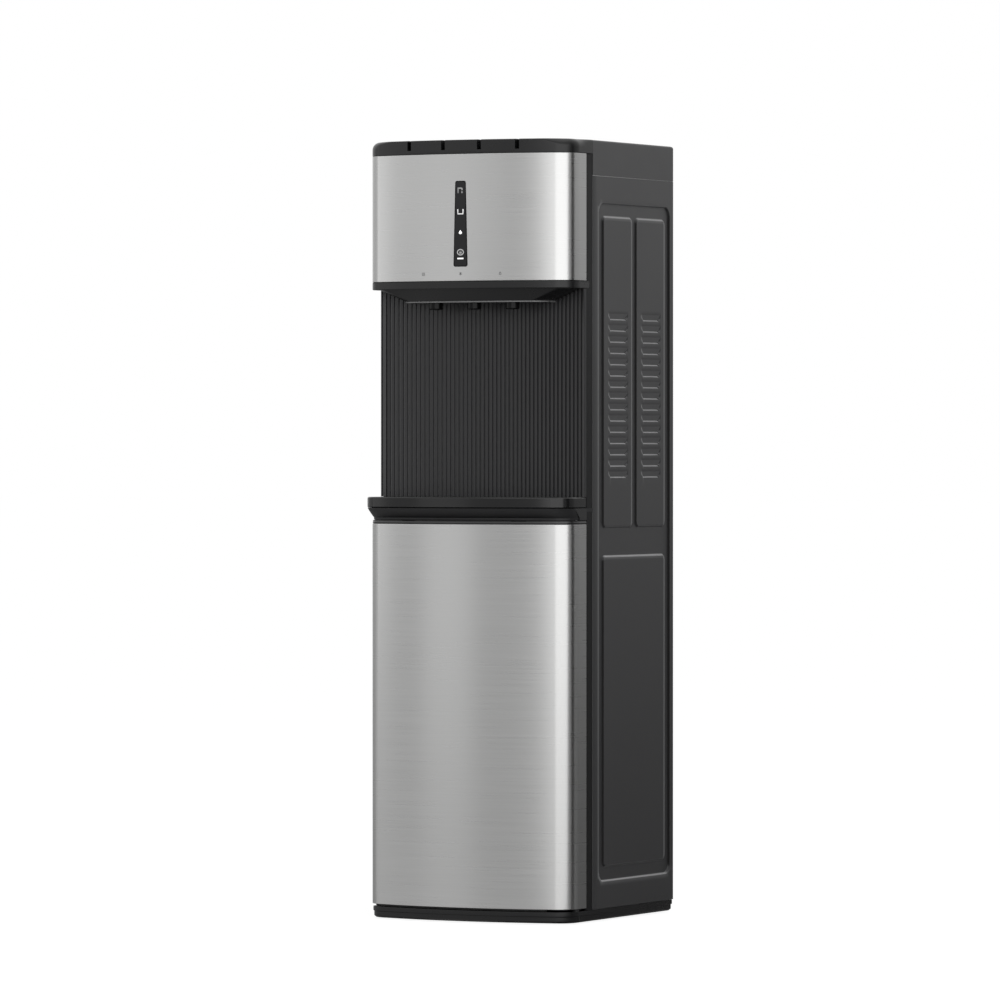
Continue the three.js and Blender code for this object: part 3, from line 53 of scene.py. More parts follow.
camera_data = bpy.data.cameras.new("camera")
camera_data.lens = camera_lens
camera_data.sensor_width = 36.0
camera = bpy.data.objects.new("camera", camera_data)
bpy.context.scene.collection.objects.link(camera)
camera.location = camera_spot
camera.rotation_euler = (math.pi / 2 - camera_pitch, 0.0, camera_azimuth)
camera_data.clip_end = 100.0
bpy.context.scene.camera = camera
bpy.context.scene.view_settings.view_transform = "Standard"


# ------------------------------------------------------------------ room
# A white studio: a pale floor that keeps the shadow, and a white surround that the metal reflects.
def feed(tree, node, inputs):
    """Gives each of a node's named inputs its value, or the socket that drives it."""
    for label, value in inputs.items():
        if isinstance(value, bpy.types.NodeSocket):
            tree.links.new(value, node.inputs[label])
        else:
            node.inputs[label].default_value = value


def add(tree, kind, inputs=None, **settings):
    """A new node in a tree, with its settings and its inputs."""
    node = tree.nodes.new(kind)
    for key, value in settings.items():
        setattr(node, key, value)
    feed(tree, node, inputs or {})
    return node


def maths(tree, operation, *values):
    """The result of one operation on numbers or sockets."""
    return add(tree, "ShaderNodeMath", dict(enumerate(values)), operation=operation).outputs[0]


def span(tree, value, low, high, start=0.0, end=1.0):
    """A value between low and high, as the given one goes from start to end."""
    ends = {"From Min": start, "From Max": end, "To Min": low, "To Max": high}
    return add(tree, "ShaderNodeMapRange", {"Value": value, **ends}).outputs["Result"]


def blend(tree, factor, first, second, kind="RGBA"):
    """A mix of two colours, or of two numbers."""
    inputs = {"Factor": factor, "A": first, "B": second}
    return add(tree, "ShaderNodeMix", inputs, data_type=kind).outputs["Result"]


def grey(level):
    return level, level, level, 1


def shader(name):
    """A new material, its node tree and its Principled shader."""
    material = bpy.data.materials.new(name)
    material.use_nodes = True
    return material, material.node_tree, material.node_tree.nodes["Principled BSDF"]


def rectangle(name, x, y, material):
    """A flat sheet round its own origin, x and y being half its sides."""
    mesh = bpy.data.meshes.new(name)
    mesh.from_pydata([(-x, -y, 0), (x, -y, 0), (x, y, 0), (-x, y, 0)], [], [(0, 1, 2, 3)])
    mesh.materials.append(material)
    made = bpy.data.objects.new(name, mesh)
    bpy.context.scene.collection.objects.link(made)
    return made


floor_half = 60
floor_colour = 0.24
floor_in_metal = 0.03  # its colour in reflections, where the glow below stands in for its light
floor_white = 0.90  # added where the camera sees it, so that only the shadow falls below white
floor_centre = (0.135, -0.162, 0.0)  # the foot of the door's right corner
floor_mirrored_levels = (  # the glow in reflections: degrees round that foot, brightness
    (-90, 0.66), (-14, 0.47), (-4, 0.53), (8, 0.96), (66, 0.92),
    (75, 0.02), (108, 0.02), (118, 0.20), (165, 0.08), (200, 0.30),
)
surround_level = 0.42

floor_finish, tree, skin = shader("studio_floor")
rays = add(tree, "ShaderNodeLightPath").outputs
mirrored = maths(tree, "MAXIMUM", rays["Is Glossy Ray"], rays["Is Transmission Ray"])
spot = add(tree, "ShaderNodeTexCoord").outputs["Object"]
spot = add(tree, "ShaderNodeVectorMath", {0: spot, 1: floor_centre}, operation="SUBTRACT").outputs["Vector"]
turn = add(tree, "ShaderNodeTexGradient", {"Vector": spot}, gradient_type="RADIAL").outputs["Fac"]
ramp = add(tree, "ShaderNodeValToRGB", {"Fac": turn})
stops = ramp.color_ramp.elements
stops.remove(stops[0])
for k, (degrees, level) in enumerate(floor_mirrored_levels):
    place = degrees / 360 + 0.25
    stop = stops[0] if k == 0 else stops.new(place)
    stop.position = place
    stop.color = grey(level)
mirror_glow = maths(tree, "MULTIPLY", ramp.outputs["Color"], mirrored)
floor_glow = maths(tree, "MULTIPLY_ADD", rays["Is Camera Ray"], floor_white, mirror_glow)
floor_tone = blend(tree, mirrored, grey(floor_colour), grey(floor_in_metal))
feed(tree, skin, {"Base Color": floor_tone, "Roughness": 0.9, "Specular IOR Level": 0.0})
feed(tree, skin, {"Emission Color": grey(1), "Emission Strength": floor_glow})
rectangle("floor", floor_half, floor_half, floor_finish)

surround = bpy.data.worlds.new("surround")
bpy.context.scene.world = surround
surround.use_nodes = True
tree = surround.node_tree
rays = add(tree, "ShaderNodeLightPath").outputs
mirrored = maths(tree, "MAXIMUM", rays["Is Glossy Ray"], rays["Is Transmission Ray"])
seen = maths(tree, "MAXIMUM", rays["Is Camera Ray"], mirrored)
feed(tree, tree.nodes["Background"], {"Color": grey(1), "Strength": span(tree, seen, surround_level, 1.0)})


# ------------------------------------------------------------------ plinth and glides
# One black moulding that carries the cabinet, its lower half set back a little, on four rubber
# glides. The moulding has the fine spark-eroded grain of all the black parts.
def effect(name, inputs, outputs):
    """A shader node group of plain values: its tree, the sockets of its entry, and its exit."""
    group = bpy.data.node_groups.new(name, "ShaderNodeTree")
    for label, value in inputs.items():
        socket = group.interface.new_socket(label, in_out="INPUT", socket_type="NodeSocketFloat")
        socket.default_value = value
    for label in outputs:
        group.interface.new_socket(label, in_out="OUTPUT", socket_type="NodeSocketFloat")
    return group, group.nodes.new("NodeGroupInput").outputs, group.nodes.new("NodeGroupOutput")


# Moulded grain: fine pits over a faint unevenness, as a height, with a slow change of gloss.
grain_group, entry, leave = effect("moulded_grain", {"Grain": 1400.0, "Sink": 18.0}, ("Height", "Patch"))
spot = add(grain_group, "ShaderNodeTexCoord").outputs["Object"]
noises = []
for label, detail in (("Grain", 3.0), ("Sink", 2.0)):
    noise = {"Vector": spot, "Scale": entry[label], "Detail": detail}
    noises.append(add(grain_group, "ShaderNodeTexNoise", noise).outputs["Fac"])
fine, slow = noises
height = maths(grain_group, "MULTIPLY_ADD", fine, 0.75, maths(grain_group, "MULTIPLY", slow, 0.25))
feed(grain_group, leave, {"Height": height, "Patch": slow})


def grained(name, colour, rough, grain, sink, bump, drift, shine=0.5, metal=0.0, mottle="Patch"):
    """A grained surface. grain and sink are the scales of its pits and of its unevenness, bump the
    pits' depth and strength, and drift how far its gloss and its tone wander, the tone by mottle."""
    material, tree, skin = shader(name)
    pits = add(tree, "ShaderNodeGroup", {"Grain": grain, "Sink": sink}, node_tree=grain_group).outputs
    if bump:
        bumps = {"Distance": bump[0], "Strength": bump[1], "Height": pits["Height"]}
        feed(tree, skin, {"Normal": add(tree, "ShaderNodeBump", bumps).outputs["Normal"]})
    gloss_drift, tone_drift = drift
    deep, pale = ((*[min(c * part, 1) for c in colour], 1) for part in (1 - tone_drift, 1 + tone_drift))
    gloss = span(tree, pits["Patch"], rough - gloss_drift, rough + gloss_drift)
    feed(tree, skin, {"Base Color": blend(tree, pits[mottle], deep, pale), "Roughness": gloss})
    feed(tree, skin, {"Specular IOR Level": shine, "Metallic": metal})
    return material


def moulding(name, colour, rough, grain=1400.0, depth=0.00004, shine=0.5):
    """Moulded plastic: one colour that drifts slightly, a grain that dulls it, and soft gloss."""
    return grained(name, colour, rough, grain, 18.0, (depth, 0.6), (0.05, 0.08), shine)


# Softened edges for the frame's own solids: facets join, flat faces become one, edges are rounded.
smooth_tree = bpy.data.node_groups.new("smooth_curves", "GeometryNodeTree")
for way in ("INPUT", "OUTPUT"):
    smooth_tree.interface.new_socket("Geometry", in_out=way, socket_type="NodeSocketGeometry")
whole = add(smooth_tree, "NodeGroupInput").outputs[0]
whole = add(smooth_tree, "GeometryNodeSetShadeSmooth", {"Geometry": whole}).outputs["Geometry"]
bend = add(smooth_tree, "GeometryNodeInputMeshEdgeAngle").outputs["Unsigned Angle"]
blunt = add(smooth_tree, "FunctionNodeCompare", {0: bend, 1: math.radians(32)}, operation="LESS_THAN")
soft = {"Geometry": whole, "Shade Smooth": blunt.outputs["Result"]}
soft = add(smooth_tree, "GeometryNodeSetShadeSmooth", soft, domain="EDGE").outputs["Geometry"]
add(smooth_tree, "NodeGroupOutput", {0: soft})


def modify(piece, name, kind, **settings):
    """A new modifier on a piece, with its settings."""
    made = piece.modifiers.new(name, kind)
    for key, value in settings.items():
        setattr(made, key, value)


def round_edges(piece, width, angle=32, segments=2):
    """Rounds the edges that turn by more than the given degrees."""
    limit = {"limit_method": "ANGLE", "angle_limit": math.radians(angle)}
    modify(piece, "edges", "BEVEL", width=width, segments=segments, **limit)


def flatten(piece):
    """Large faces keep their own direction, so only the small ones round the edges look curved."""
    modify(piece, "normals", "WEIGHTED_NORMAL", mode="FACE_AREA_WITH_ANGLE", weight=90, keep_sharp=True)


def dress(material, edge, *names, segments=2):
    """A finish for the frame's own solids, with their edges rounded by the given width."""
    for piece in (nodes[name] for name in names):
        piece.data.materials.clear()
        piece.data.materials.append(material)
        modify(piece, "join", "WELD", merge_threshold=0.00001)
        modify(piece, "flats", "DECIMATE", decimate_type="DISSOLVE", angle_limit=math.radians(0.4))
        if edge:
            round_edges(piece, edge, segments=segments)
        modify(piece, "smooth", "NODES", node_group=smooth_tree)
        if edge:
            flatten(piece)


black_moulding = moulding("black_moulding", (0.0095, 0.0095, 0.010), 0.28, shine=0.29)
glide_rubber = moulding("glide_rubber", (0.018, 0.018, 0.018), 0.75, grain=700.0)

dress(black_moulding, 0.0006, "base_plinth")
dress(glide_rubber, 0.0, "foot_front_left", "foot_front_right", "foot_rear_left", "foot_rear_right")


# ------------------------------------------------------------------ cabinet sides and rear
# Panels of steel sheet, powder coated in dark grey. A sunk frame, raised fields and lanced louvres
# are pressed into each side, whose edges are folded in. Black moulded posts close their front edges,
# and the moulded top cover sits on them, with a pale strip under its edge as a painted highlight.
def mesh_piece(name, points, faces, material, body, smooth=38):
    """An object from points and faces, smooth except at edges over the given angle, on its body."""
    mesh = bpy.data.meshes.new(name)
    mesh.from_pydata(np.asarray(points).tolist(), [], faces)
    mesh.materials.append(material)
    mesh.polygons.foreach_set("use_smooth", np.ones(len(mesh.polygons), bool))
    mesh.set_sharp_from_angle(angle=math.radians(smooth))
    made = bpy.data.objects.new(name, mesh)
    bpy.context.scene.collection.objects.link(made)
    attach(made, body)
    return made


def quads(rows, columns, closed=False):
    """Four-sided faces between neighbours in rows of numbered points; closed joins a row's ends."""
    number = np.arange(rows * columns).reshape(rows, columns)
    if closed:
        number = np.concatenate([number, number[:, :1]], 1)
    return np.stack([number[:-1, :-1], number[1:, :-1], number[1:, 1:], number[:-1, 1:]], 2)


def grid_piece(name, points, material, body, closed=False, smooth=38):
    """A mesh through a grid of points, rows by columns by three, with faces between neighbours."""
    faces = quads(*points.shape[:2], closed).reshape(-1, 4).tolist()
    return mesh_piece(name, points.reshape(-1, 3), faces, material, body, smooth)


def raised(plan, z):
    """A line of (x, y) points at one height, or at a height for each."""
    return np.c_[plan, np.broadcast_to(z, len(plan))]


def carried(plan, heights):
    """Rows of points: a line of (x, y) points at each of the heights."""
    return np.stack([raised(plan, z) for z in heights])


def thicken(piece, sheet, side=-1.0):
    """Turns a surface into a sheet, behind it or, with a side of 1, in front of it."""
    modify(piece, "sheet", "SOLIDIFY", thickness=sheet, offset=side)


def mark_points(piece, name, values):
    """A number at each point, which the piece's material reads by name."""
    marks = piece.data.attributes.new(name, "FLOAT", "POINT")
    marks.data.foreach_set("value", values.ravel().astype(np.float32))


def coating(name, colour, rough):
    """Powder coat: one colour with orange peel, and a slow change of gloss."""
    return grained(name, colour, rough, 420.0, 9.0, (0.00005, 0.5), (0.05, 0.06))


coat_colour = (0.032, 0.032, 0.0335)
coat_roughness = 0.40
post_moulding = moulding("post_moulding", (0.009, 0.009, 0.0095), 0.45, shine=0.12)
cabinet_coat = coating("cabinet_coat", coat_colour, coat_roughness)

# The same coat with painted light and shade on the pressed steps: a painted highlight on the steps
# that face up or back, and painted shade, darker and duller, on the others.
pressed_coat_painted_light = coating("pressed_coat_painted_light", coat_colour, coat_roughness)
tree = pressed_coat_painted_light.node_tree
skin = tree.nodes["Principled BSDF"]
tone, gloss = [skin.inputs[label].links[0].from_socket for label in ("Base Color", "Roughness")]
painted_relief_shading = add(tree, "ShaderNodeAttribute", attribute_name="painted_relief_shading").outputs["Fac"]
painted_shade = span(tree, painted_relief_shading, 0.0, 1.0, 0.0, -1.0)
painted_highlight = span(tree, painted_relief_shading, 0.0, 1.0)
# Painted light: pale grey where the mark is above nought, near black and fully rough where it marks painted
# shade.
tone = blend(tree, painted_highlight, blend(tree, painted_shade, tone, grey(0.001)), (0.37, 0.37, 0.375, 1))
feed(tree, skin, {"Base Color": tone, "Roughness": blend(tree, painted_shade, gloss, 1.0, "FLOAT")})

frame_front = 0.019  # from the panel's front edge to the sunk frame
frame_rear = 0.0118
frame_end = 0.0366
frame_depth = 0.0026
frame_corner = 0.014
field_depth = 0.0003
field_corner = 0.007
field_side = 0.0135  # from the frame's edge to a raised field
field_foot = 0.0195
field_head = 0.0175
lower_field_top = 0.437  # above the frame's foot
field_gap = 0.039  # between the lower field and the two upper ones
upper_gap = 0.006  # half the gap between the two upper fields
step_width = 0.0023
louvre_rows = 15
louvre_pitch = 0.0152
louvre_height = 0.0078
louvre_depth = 0.0022
louvre_lip = 0.0017
louvre_margin = 0.013
louvre_taper = 0.0065
louvre_foot = 0.068
panel_step = 0.0009  # between the mesh's points where the relief is
steep = 0.9  # slope at which a step counts as upright


def ease(t):
    """Smooth step from 0 to 1."""
    t = np.clip(t, 0, 1)
    return t * t * (3 - 2 * t)


def inside(y, z, y0, y1, z0, z1, corner):
    """Distance inwards from the edge of a rectangle with round corners, negative outside it."""
    dy = np.abs(y - (y0 + y1) / 2) - (y1 - y0) / 2 + corner
    dz = np.abs(z - (z0 + z1) / 2) - (z1 - z0) / 2 + corner
    return corner - np.hypot(np.maximum(dy, 0), np.maximum(dz, 0)) - np.minimum(np.maximum(dy, dz), 0)


def places(start, end, coarse, fine, spans):
    """Places along an axis: coarse steps from start to end, and fine ones inside each span."""
    runs = [np.linspace(start, end, max(2, round((end - start) / coarse) + 1))]
    keep = np.ones(len(runs[0]), bool)
    for a, b in spans:
        keep &= (runs[0] < a - fine) | (runs[0] > b + fine)
    keep[[0, -1]] = True
    runs[0] = runs[0][keep]
    runs += [np.append(np.arange(a, b, fine), (b, b + fine / 2)) for a, b in spans]
    return np.unique(np.round(np.concatenate(runs), 6))


def slopes(height, y, z):
    """How fast a height over a grid rises along y and along z."""
    along_y = np.gradient(height, axis=1) / np.gradient(y, axis=1)
    return along_y, np.gradient(height, axis=0) / np.gradient(z, axis=0)


def side_sheet(side):
    """A pressed side panel. Its depth under the outer face is a smooth step across the edge of the
    frame, less one across each raised field's edge, plus louvres that slope in from their heads."""
    low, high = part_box("side_panel_" + side)
    half = max(abs(low.x), abs(high.x))
    fy0, fy1 = low.y + frame_front, high.y - frame_rear
    fz0, fz1 = low.z + frame_end, high.z - frame_end
    middle = (fy0 + fy1) / 2
    split = fz0 + lower_field_top
    fields = [
        (fy0 + field_side, fy1 - field_side, fz0 + field_foot, split),
        (fy0 + field_side, middle - upper_gap, split + field_gap, fz1 - field_head),
        (middle + upper_gap, fy1 - field_side, split + field_gap, fz1 - field_head),
    ]
    heads = fields[1][2] + louvre_foot + louvre_height + louvre_pitch * np.arange(louvre_rows)
    slopes_z = heads[:, None] - louvre_height * np.array([-0.03, 0.2, 0.4, 0.6, 0.8, 0.94, 1.0])
    lips_z = heads[:, None] - louvre_height - louvre_lip * np.array([0.33, 0.66, 1.0])
    rim = 0.001  # how far fine steps go on past the frame's edge
    fine_y = [(fy0 - rim, fy0 + 0.039), (middle - 0.028, middle + 0.032), (fy1 - 0.036, fy1 + rim)]
    fine_z = [(fz0 - rim, fz0 + 0.028), (split - 0.008, split + rim)]
    fine_z += [(split + 0.038, split + 0.047), (fz1 - 0.026, fz1 + rim)]
    ys = places(low.y + 0.001, high.y, 0.012, panel_step, fine_y)
    zs = places(low.z, high.z, 0.03, panel_step, fine_z)
    clear = (zs < heads[0] - 0.012) | (zs > heads[-1] + 0.003)
    zs = np.unique(np.concatenate([zs[clear], slopes_z.ravel(), lips_z.ravel()]))
    z, y = np.meshgrid(zs, ys, indexing="ij")
    depth = frame_depth * ease(inside(y, z, fy0, fy1, fz0, fz1, frame_corner) / step_width + 0.5)
    for field in fields:
        rise = ease(inside(y, z, *field, field_corner) / step_width + 0.5)
        depth -= (frame_depth - field_depth) * rise
    down = np.stack([(head - z) / louvre_height for head in heads])
    nearest = np.abs(down - 0.5).argmin(0)
    fall = np.take_along_axis(down, nearest[None], 0)[0]
    past_lip = np.clip(1 - (fall - 1) * louvre_height / louvre_lip, 0, 1)
    ramp = np.where(fall <= 1, np.clip(fall, 0, 1), past_lip)
    slit, in_louvre, slit_reach = np.zeros((3,) + depth.shape)
    for y0, y1, _, _ in fields[1:]:
        middle_y = (y0 + y1) / 2
        reach = (y1 - y0) / 2 - louvre_margin - louvre_taper * np.clip(fall, 0, 1) ** 2
        across = ease((y - middle_y + reach) / 0.0048) * ease((middle_y + reach - y) / 0.0014)
        depth += louvre_depth * ramp * across
        slit += across * ease((fall - 0.93) / 0.05) * (fall <= 1.001)
        in_louvre += across * (fall >= 0) * (fall <= 1)
        slit_reach += across
    slope_y, slope_z = slopes(depth, y, z)
    in_louvre = np.clip(in_louvre, 0, 1)
    # Painted light and shade for the pressed relief: painted highlights on steps that face up or back,
    # fainter ones on steps that face down and in the louvres, a bright band under each louvre's lip and at
    # its front end, and painted shade on steps that face forward and in the louvres' slits.
    painted_light = 0.9 * ease(slope_z / steep) + 0.4 * ease(slope_y / steep)
    painted_light += (0.22 * ease(-slope_z / steep)) * (1 - in_louvre) + 0.2 * in_louvre
    painted_light += 0.6 * ease((ramp - 0.15) / 0.3) * (fall > 1) * np.clip(slit_reach, 0, 1)
    painted_light += 0.55 * in_louvre * ease(slope_y / 0.25)
    # Painted highlight: a light band beside each edge.
    edges = [(1, (fy0, fy1, fz0, fz1), frame_corner)] + [(-1, field, field_corner) for field in fields]
    for turn, edge, corner in edges:  # a bright line runs beside each edge, outside the frame or field
        gap = inside(y, z, *edge, corner)
        toward_y, toward_z = (slope * turn for slope in slopes(gap, y, z))
        painted_edge_highlight = ease(-turn * gap / 0.0008 - 0.4) * ease((0.0048 + turn * gap) / 0.0012)
        painted_light += painted_edge_highlight * (0.36 * ease(toward_y) + 0.14 * ease(toward_z))
    painted_light_and_shade = np.clip(painted_light - ease(-slope_y / steep) - 0.35 * slit, -1, 1)
    flange = np.array([(half - 0.014, low.y), (half - 0.001, low.y), (half - 0.0003, low.y + 0.0003)])
    points = np.concatenate([carried(flange, zs), np.stack([half - depth, y, z], 2)], 1)
    painted_light_and_shade = np.concatenate([np.zeros((len(zs), len(flange))), painted_light_and_shade], 1)
    if side == "left":
        points[:, :, 0] *= -1
    else:
        points, painted_light_and_shade = points[:, ::-1], painted_light_and_shade[:, ::-1]
    made = grid_piece("pressed_side_" + side, points, pressed_coat_painted_light, "cabinet", smooth=50)
    # The painted light and shade go to the material as a mark at each point.
    mark_points(made, "painted_relief_shading", painted_light_and_shade)
    thicken(made, 0.001)
    modify(made, "smooth", "NODES", node_group=smooth_tree)
    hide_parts("side_panel_" + side)


def side_flanges(side):
    """The panel's edges turned inwards all round: a loop just inside its outline, carried in x."""
    low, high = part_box("side_panel_" + side)
    half = max(abs(low.x), abs(high.x))
    y0, y1, z0, z1 = low.y + 0.0012, high.y - 0.0033, low.z + 0.0012, high.z - 0.0012
    loop = np.array([(y0, z0), ((y0 + y1) / 2, z0), (y1, z0), (y1, z1), ((y0 + y1) / 2, z1), (y0, z1)])
    points = np.stack([np.c_[np.full(len(loop), half - depth), loop] for depth in (0.0011, 0.0070, 0.0148)])
    if side == "left":
        points[:, :, 0] *= -1
        points = points[::-1]
    made = grid_piece("side_flanges_" + side, points, cabinet_coat, "cabinet", closed=True)
    thicken(made, 0.001, 1.0)


for side in ("left", "right"):
    side_sheet(side)
    side_flanges(side)
dress(post_moulding, 0.0005, "front_post_left", "front_post_right")
dress(cabinet_coat, 0.0003, "back_panel_lower", "back_panel_upper")
cover_moulding = moulding("cover_moulding", (0.034, 0.034, 0.0355), 0.40, grain=1100.0)
dress(cover_moulding, 0.0007, "top_cover", segments=3)


def cover_seam_highlight():
    """A pale strip that shows as a thin light line between the cover and the sheet under it: a painted
    highlight along the cover's lower edge.
    """
    low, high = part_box("top_cover")
    panel_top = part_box("side_panel_right")[1].z
    half, front, rear, corner = high.x - 0.00012, low.y + 0.0004, high.y - 0.0003, 0.001
    right = np.array([(half, front), (half, rear - corner), (half - corner, rear)])
    points = carried(np.concatenate([right, right[::-1] * (-1, 1)]), (low.z + 0.0003, panel_top - 0.0001))
    made = grid_piece("cover_seam_highlight", points, seam_painted_highlight, "cabinet")
    thicken(made, 0.003)


# A light grey that paints the highlight along the cover's lower edge.
seam_painted_highlight = moulding("seam_painted_highlight", (0.46, 0.46, 0.46), 0.6)
cover_seam_highlight()


# ------------------------------------------------------------------ bottle bay
# A moulded platform steers the bottle to the middle. The suction pipe, of drawn steel, stands in a
# moulded holder and lifts out of it to change the bottle.
def plating(name, colour, rough):
    """Plated or plain metal: a soft gloss broken by a faint unevenness."""
    return grained(name, colour, rough, 260.0, 30.0, None, (0.08, 0.1), metal=1.0, mottle="Height")


zinc_plate = plating("zinc_plate", (0.52, 0.53, 0.55), 0.38)
pipe_steel = plating("pipe_steel", (0.60, 0.60, 0.60), 0.22)
dress(black_moulding, 0.0006, "bottle_platform", "lance_holder")
dress(pipe_steel, 0.0, "suction_lance")


# ------------------------------------------------------------------ door
# A thin brushed steel skin, bowed across and wrapped round the corners, over a black moulded liner
# with a gloss strip at its head. It turns on two plated pins, and a magnet holds it shut.
bow_radius = 0.505
corner_radius = 0.0305


def corner_centre(half, apex, bow, corner):
    """Depth of the corner arcs' centres, where each is tangent to the wide arc."""
    return apex + bow - math.sqrt((bow - corner) ** 2 - (half - corner) ** 2)


def bow_outline(half, apex, rear, bow=bow_radius, corner=corner_radius, steps=(120, 40, 8)):
    """Points of a bowed front seen from above, from its right rear edge round to the left: straight
    side, corner arc, wide arc, corner arc, straight side. Each arc is tangent to the next."""
    across, around, along = steps
    centre = corner_centre(half, apex, bow, corner)
    lean = math.asin((half - corner) / (bow - corner))
    side = np.linspace(rear, centre, along, endpoint=False)
    turn = np.linspace(0, -(math.pi / 2 - lean), around, endpoint=False)
    sweep = np.linspace(-math.pi / 2 + lean, -math.pi / 2 - lean, across + 1)
    straight = np.stack([np.full(along, half), side], 1)
    tight = np.stack([half - corner + corner * np.cos(turn), centre + corner * np.sin(turn)], 1)
    wide = np.stack([bow * np.cos(sweep), apex + bow + bow * np.sin(sweep)], 1)
    right = np.concatenate([straight, tight])
    return np.concatenate([right, wide, right[::-1] * (-1, 1)])


# Brushing: long thin scratches along the sheet, as a height, and wider streaks of gloss and tone.
brush_sizes = {"Along": 11.0, "Across": 1700.0}
brush_group, entry, leave = effect("brushing", brush_sizes, ("Height", "Streak"))
spot = add(brush_group, "ShaderNodeTexCoord").outputs["Object"]
axes = add(brush_group, "ShaderNodeSeparateXYZ", {0: spot}).outputs
lanes = []
for scale_along, scale_across, detail in ((1.0, 1.0, 3.0), (0.6, 0.3, 2.0)):
    stretched = add(brush_group, "ShaderNodeCombineXYZ")
    for axis in "XYZ":
        label, scale = ("Across", scale_across) if axis == "Z" else ("Along", scale_along)
        factor = maths(brush_group, "MULTIPLY", entry[label], scale)
        feed(brush_group, stretched, {axis: maths(brush_group, "MULTIPLY", axes[axis], factor)})
    lane = {"Vector": stretched.outputs[0], "Scale": 1.0, "Detail": detail}
    lanes.append(add(brush_group, "ShaderNodeTexNoise", lane).outputs["Fac"])
feed(brush_group, leave, {"Height": lanes[0], "Streak": lanes[1]})

steel_skin, tree, skin = shader("brushed_steel_skin")
brushed = add(tree, "ShaderNodeGroup", node_tree=brush_group).outputs
bumps = {"Distance": 0.00001, "Strength": 0.05, "Height": brushed["Height"]}
steel = {
    "Metallic": 1.0,
    "Anisotropic": 0.55,
    "Anisotropic Rotation": 0.25,
    "Tangent": add(tree, "ShaderNodeTangent", direction_type="RADIAL", axis="Z").outputs["Tangent"],
    "Normal": add(tree, "ShaderNodeBump", bumps).outputs["Normal"],
    "Roughness": span(tree, brushed["Streak"], 0.27, 0.31, 0.3, 0.7),
    "Base Color": blend(tree, brushed["Streak"], (0.398, 0.398, 0.395, 1), (0.444, 0.444, 0.441, 1)),
}
feed(tree, skin, steel)


def steel_sheet(name, node, body):
    """A bowed skin in the place of its solid: the outline carried up, hemmed inwards at its sides."""
    low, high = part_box(node)
    sheet, hem = 0.0008, 0.004
    hem_right = np.array([[high.x - hem, high.y], [high.x - hem * 0.3, high.y]])
    plan = np.concatenate([hem_right, bow_outline(high.x, low.y, high.y), hem_right[::-1] * (-1, 1)])
    guard = 0.0008  # rows this near the rims keep the rims' rounding out of the broad face
    points = carried(plan, (low.z, low.z + guard, (low.z + high.z) / 2, high.z - guard, high.z))
    made = grid_piece(name, points, steel_skin, body, smooth=60)
    thicken(made, sheet)
    round_edges(made, 0.00025, 50)
    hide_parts(node)


steel_sheet("door_steel", "door_skin", "door")
dress(black_moulding, 0.0006, "door_liner")


def door_head_trim():
    """A narrow glossy strip along the door's head above the steel, round at its top edge: a profile
    of (inset, height) carried along the door's outline."""
    low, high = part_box("door_skin")
    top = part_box("door_liner")[1].z
    profile = [(0.0020, high.z + 0.0004), (0.0009, high.z + 0.0004), (0.0003, high.z + 0.0012)]
    profile += [(0.0003, top - 0.0016), (0.0010, top - 0.0006)]
    profile += [(inset, top - 0.0001) for inset in (0.0017, 0.0024)]
    rows = [raised(bow_outline(high.x - inset, low.y + inset, high.y), z) for inset, z in profile]
    made = grid_piece("door_head_trim", np.stack(rows), trim_gloss, "door", smooth=60)
    thicken(made, 0.0006)


def door_foot_strip():
    """A rubber wall under the door, set in from its edge, which closes the slot over the plinth."""
    low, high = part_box("door_skin")
    inset, hinge_side = 0.004, 0.12
    plan = bow_outline(high.x - inset, low.y + inset, high.y)
    points = carried(plan[plan[:, 0] < hinge_side], (low.z - 0.0029, low.z - 0.001, low.z + 0.001))
    made = grid_piece("door_foot_strip", points, glide_rubber, "door", smooth=60)
    thicken(made, 0.0012)


trim_gloss = moulding("trim_gloss", (0.022, 0.022, 0.023), 0.22)
door_head_trim()
door_foot_strip()
dress(zinc_plate, 0.0002, "catch_plate")
dress(zinc_plate, 0.0, "hinge_pin_top", "hinge_pin_bottom")
dress(glide_rubber, 0.0, "hinge_washer")
dress(glide_rubber, 0.0005, "magnet_catch")


# ------------------------------------------------------------------ mid frame, tray and grille
# The black moulded frame between door and niche, sloping out under the drip tray, which slides out
# for emptying and has a lift-off grille.
dress(black_moulding, 0.0002, "mid_frame")
scoop_half = 0.1375
scoop_taper = 0.036
scoop_reach = 0.004
skirt_inset = 0.0015
skirt_drop = 0.0132
bow_end = 0.03  # points this far behind the apex lie on the sides, not on the bow


def tray_skirt():
    """The face under the tray: from the frame's front edge it leans back to a foot just above the
    door, with a finger hollow in its middle that fades out towards both ends."""
    low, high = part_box("mid_frame")
    door_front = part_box("door_skin")[0].y
    steps = [(t, skirt_drop * t, 0.0) for t in np.linspace(0, 1, 13)]
    steps += [(1, 0.0150, 0.0), (1, 0.0163, 0.0004), (1, 0.0164, 0.006)]  # its foot turns inwards
    rows = []
    for t, drop, inwards in steps:
        lag = t - 0.05 * math.sin(math.pi * t)
        apex = low.y + 0.0002 + (door_front + skirt_inset - low.y) * lag
        plan = bow_outline(high.x - skirt_inset * t - inwards, apex + inwards, high.y)
        hollow = scoop_reach * t * ease((scoop_half - np.abs(plan[:, 0])) / scoop_taper)
        plan[:, 1] += np.where(plan[:, 1] < apex + bow_end, hollow, 0)
        rows.append(raised(plan, high.z - 0.0001 - drop))
    made = grid_piece("tray_skirt", np.stack(rows)[::-1], skirt_moulding, "cabinet", smooth=40)


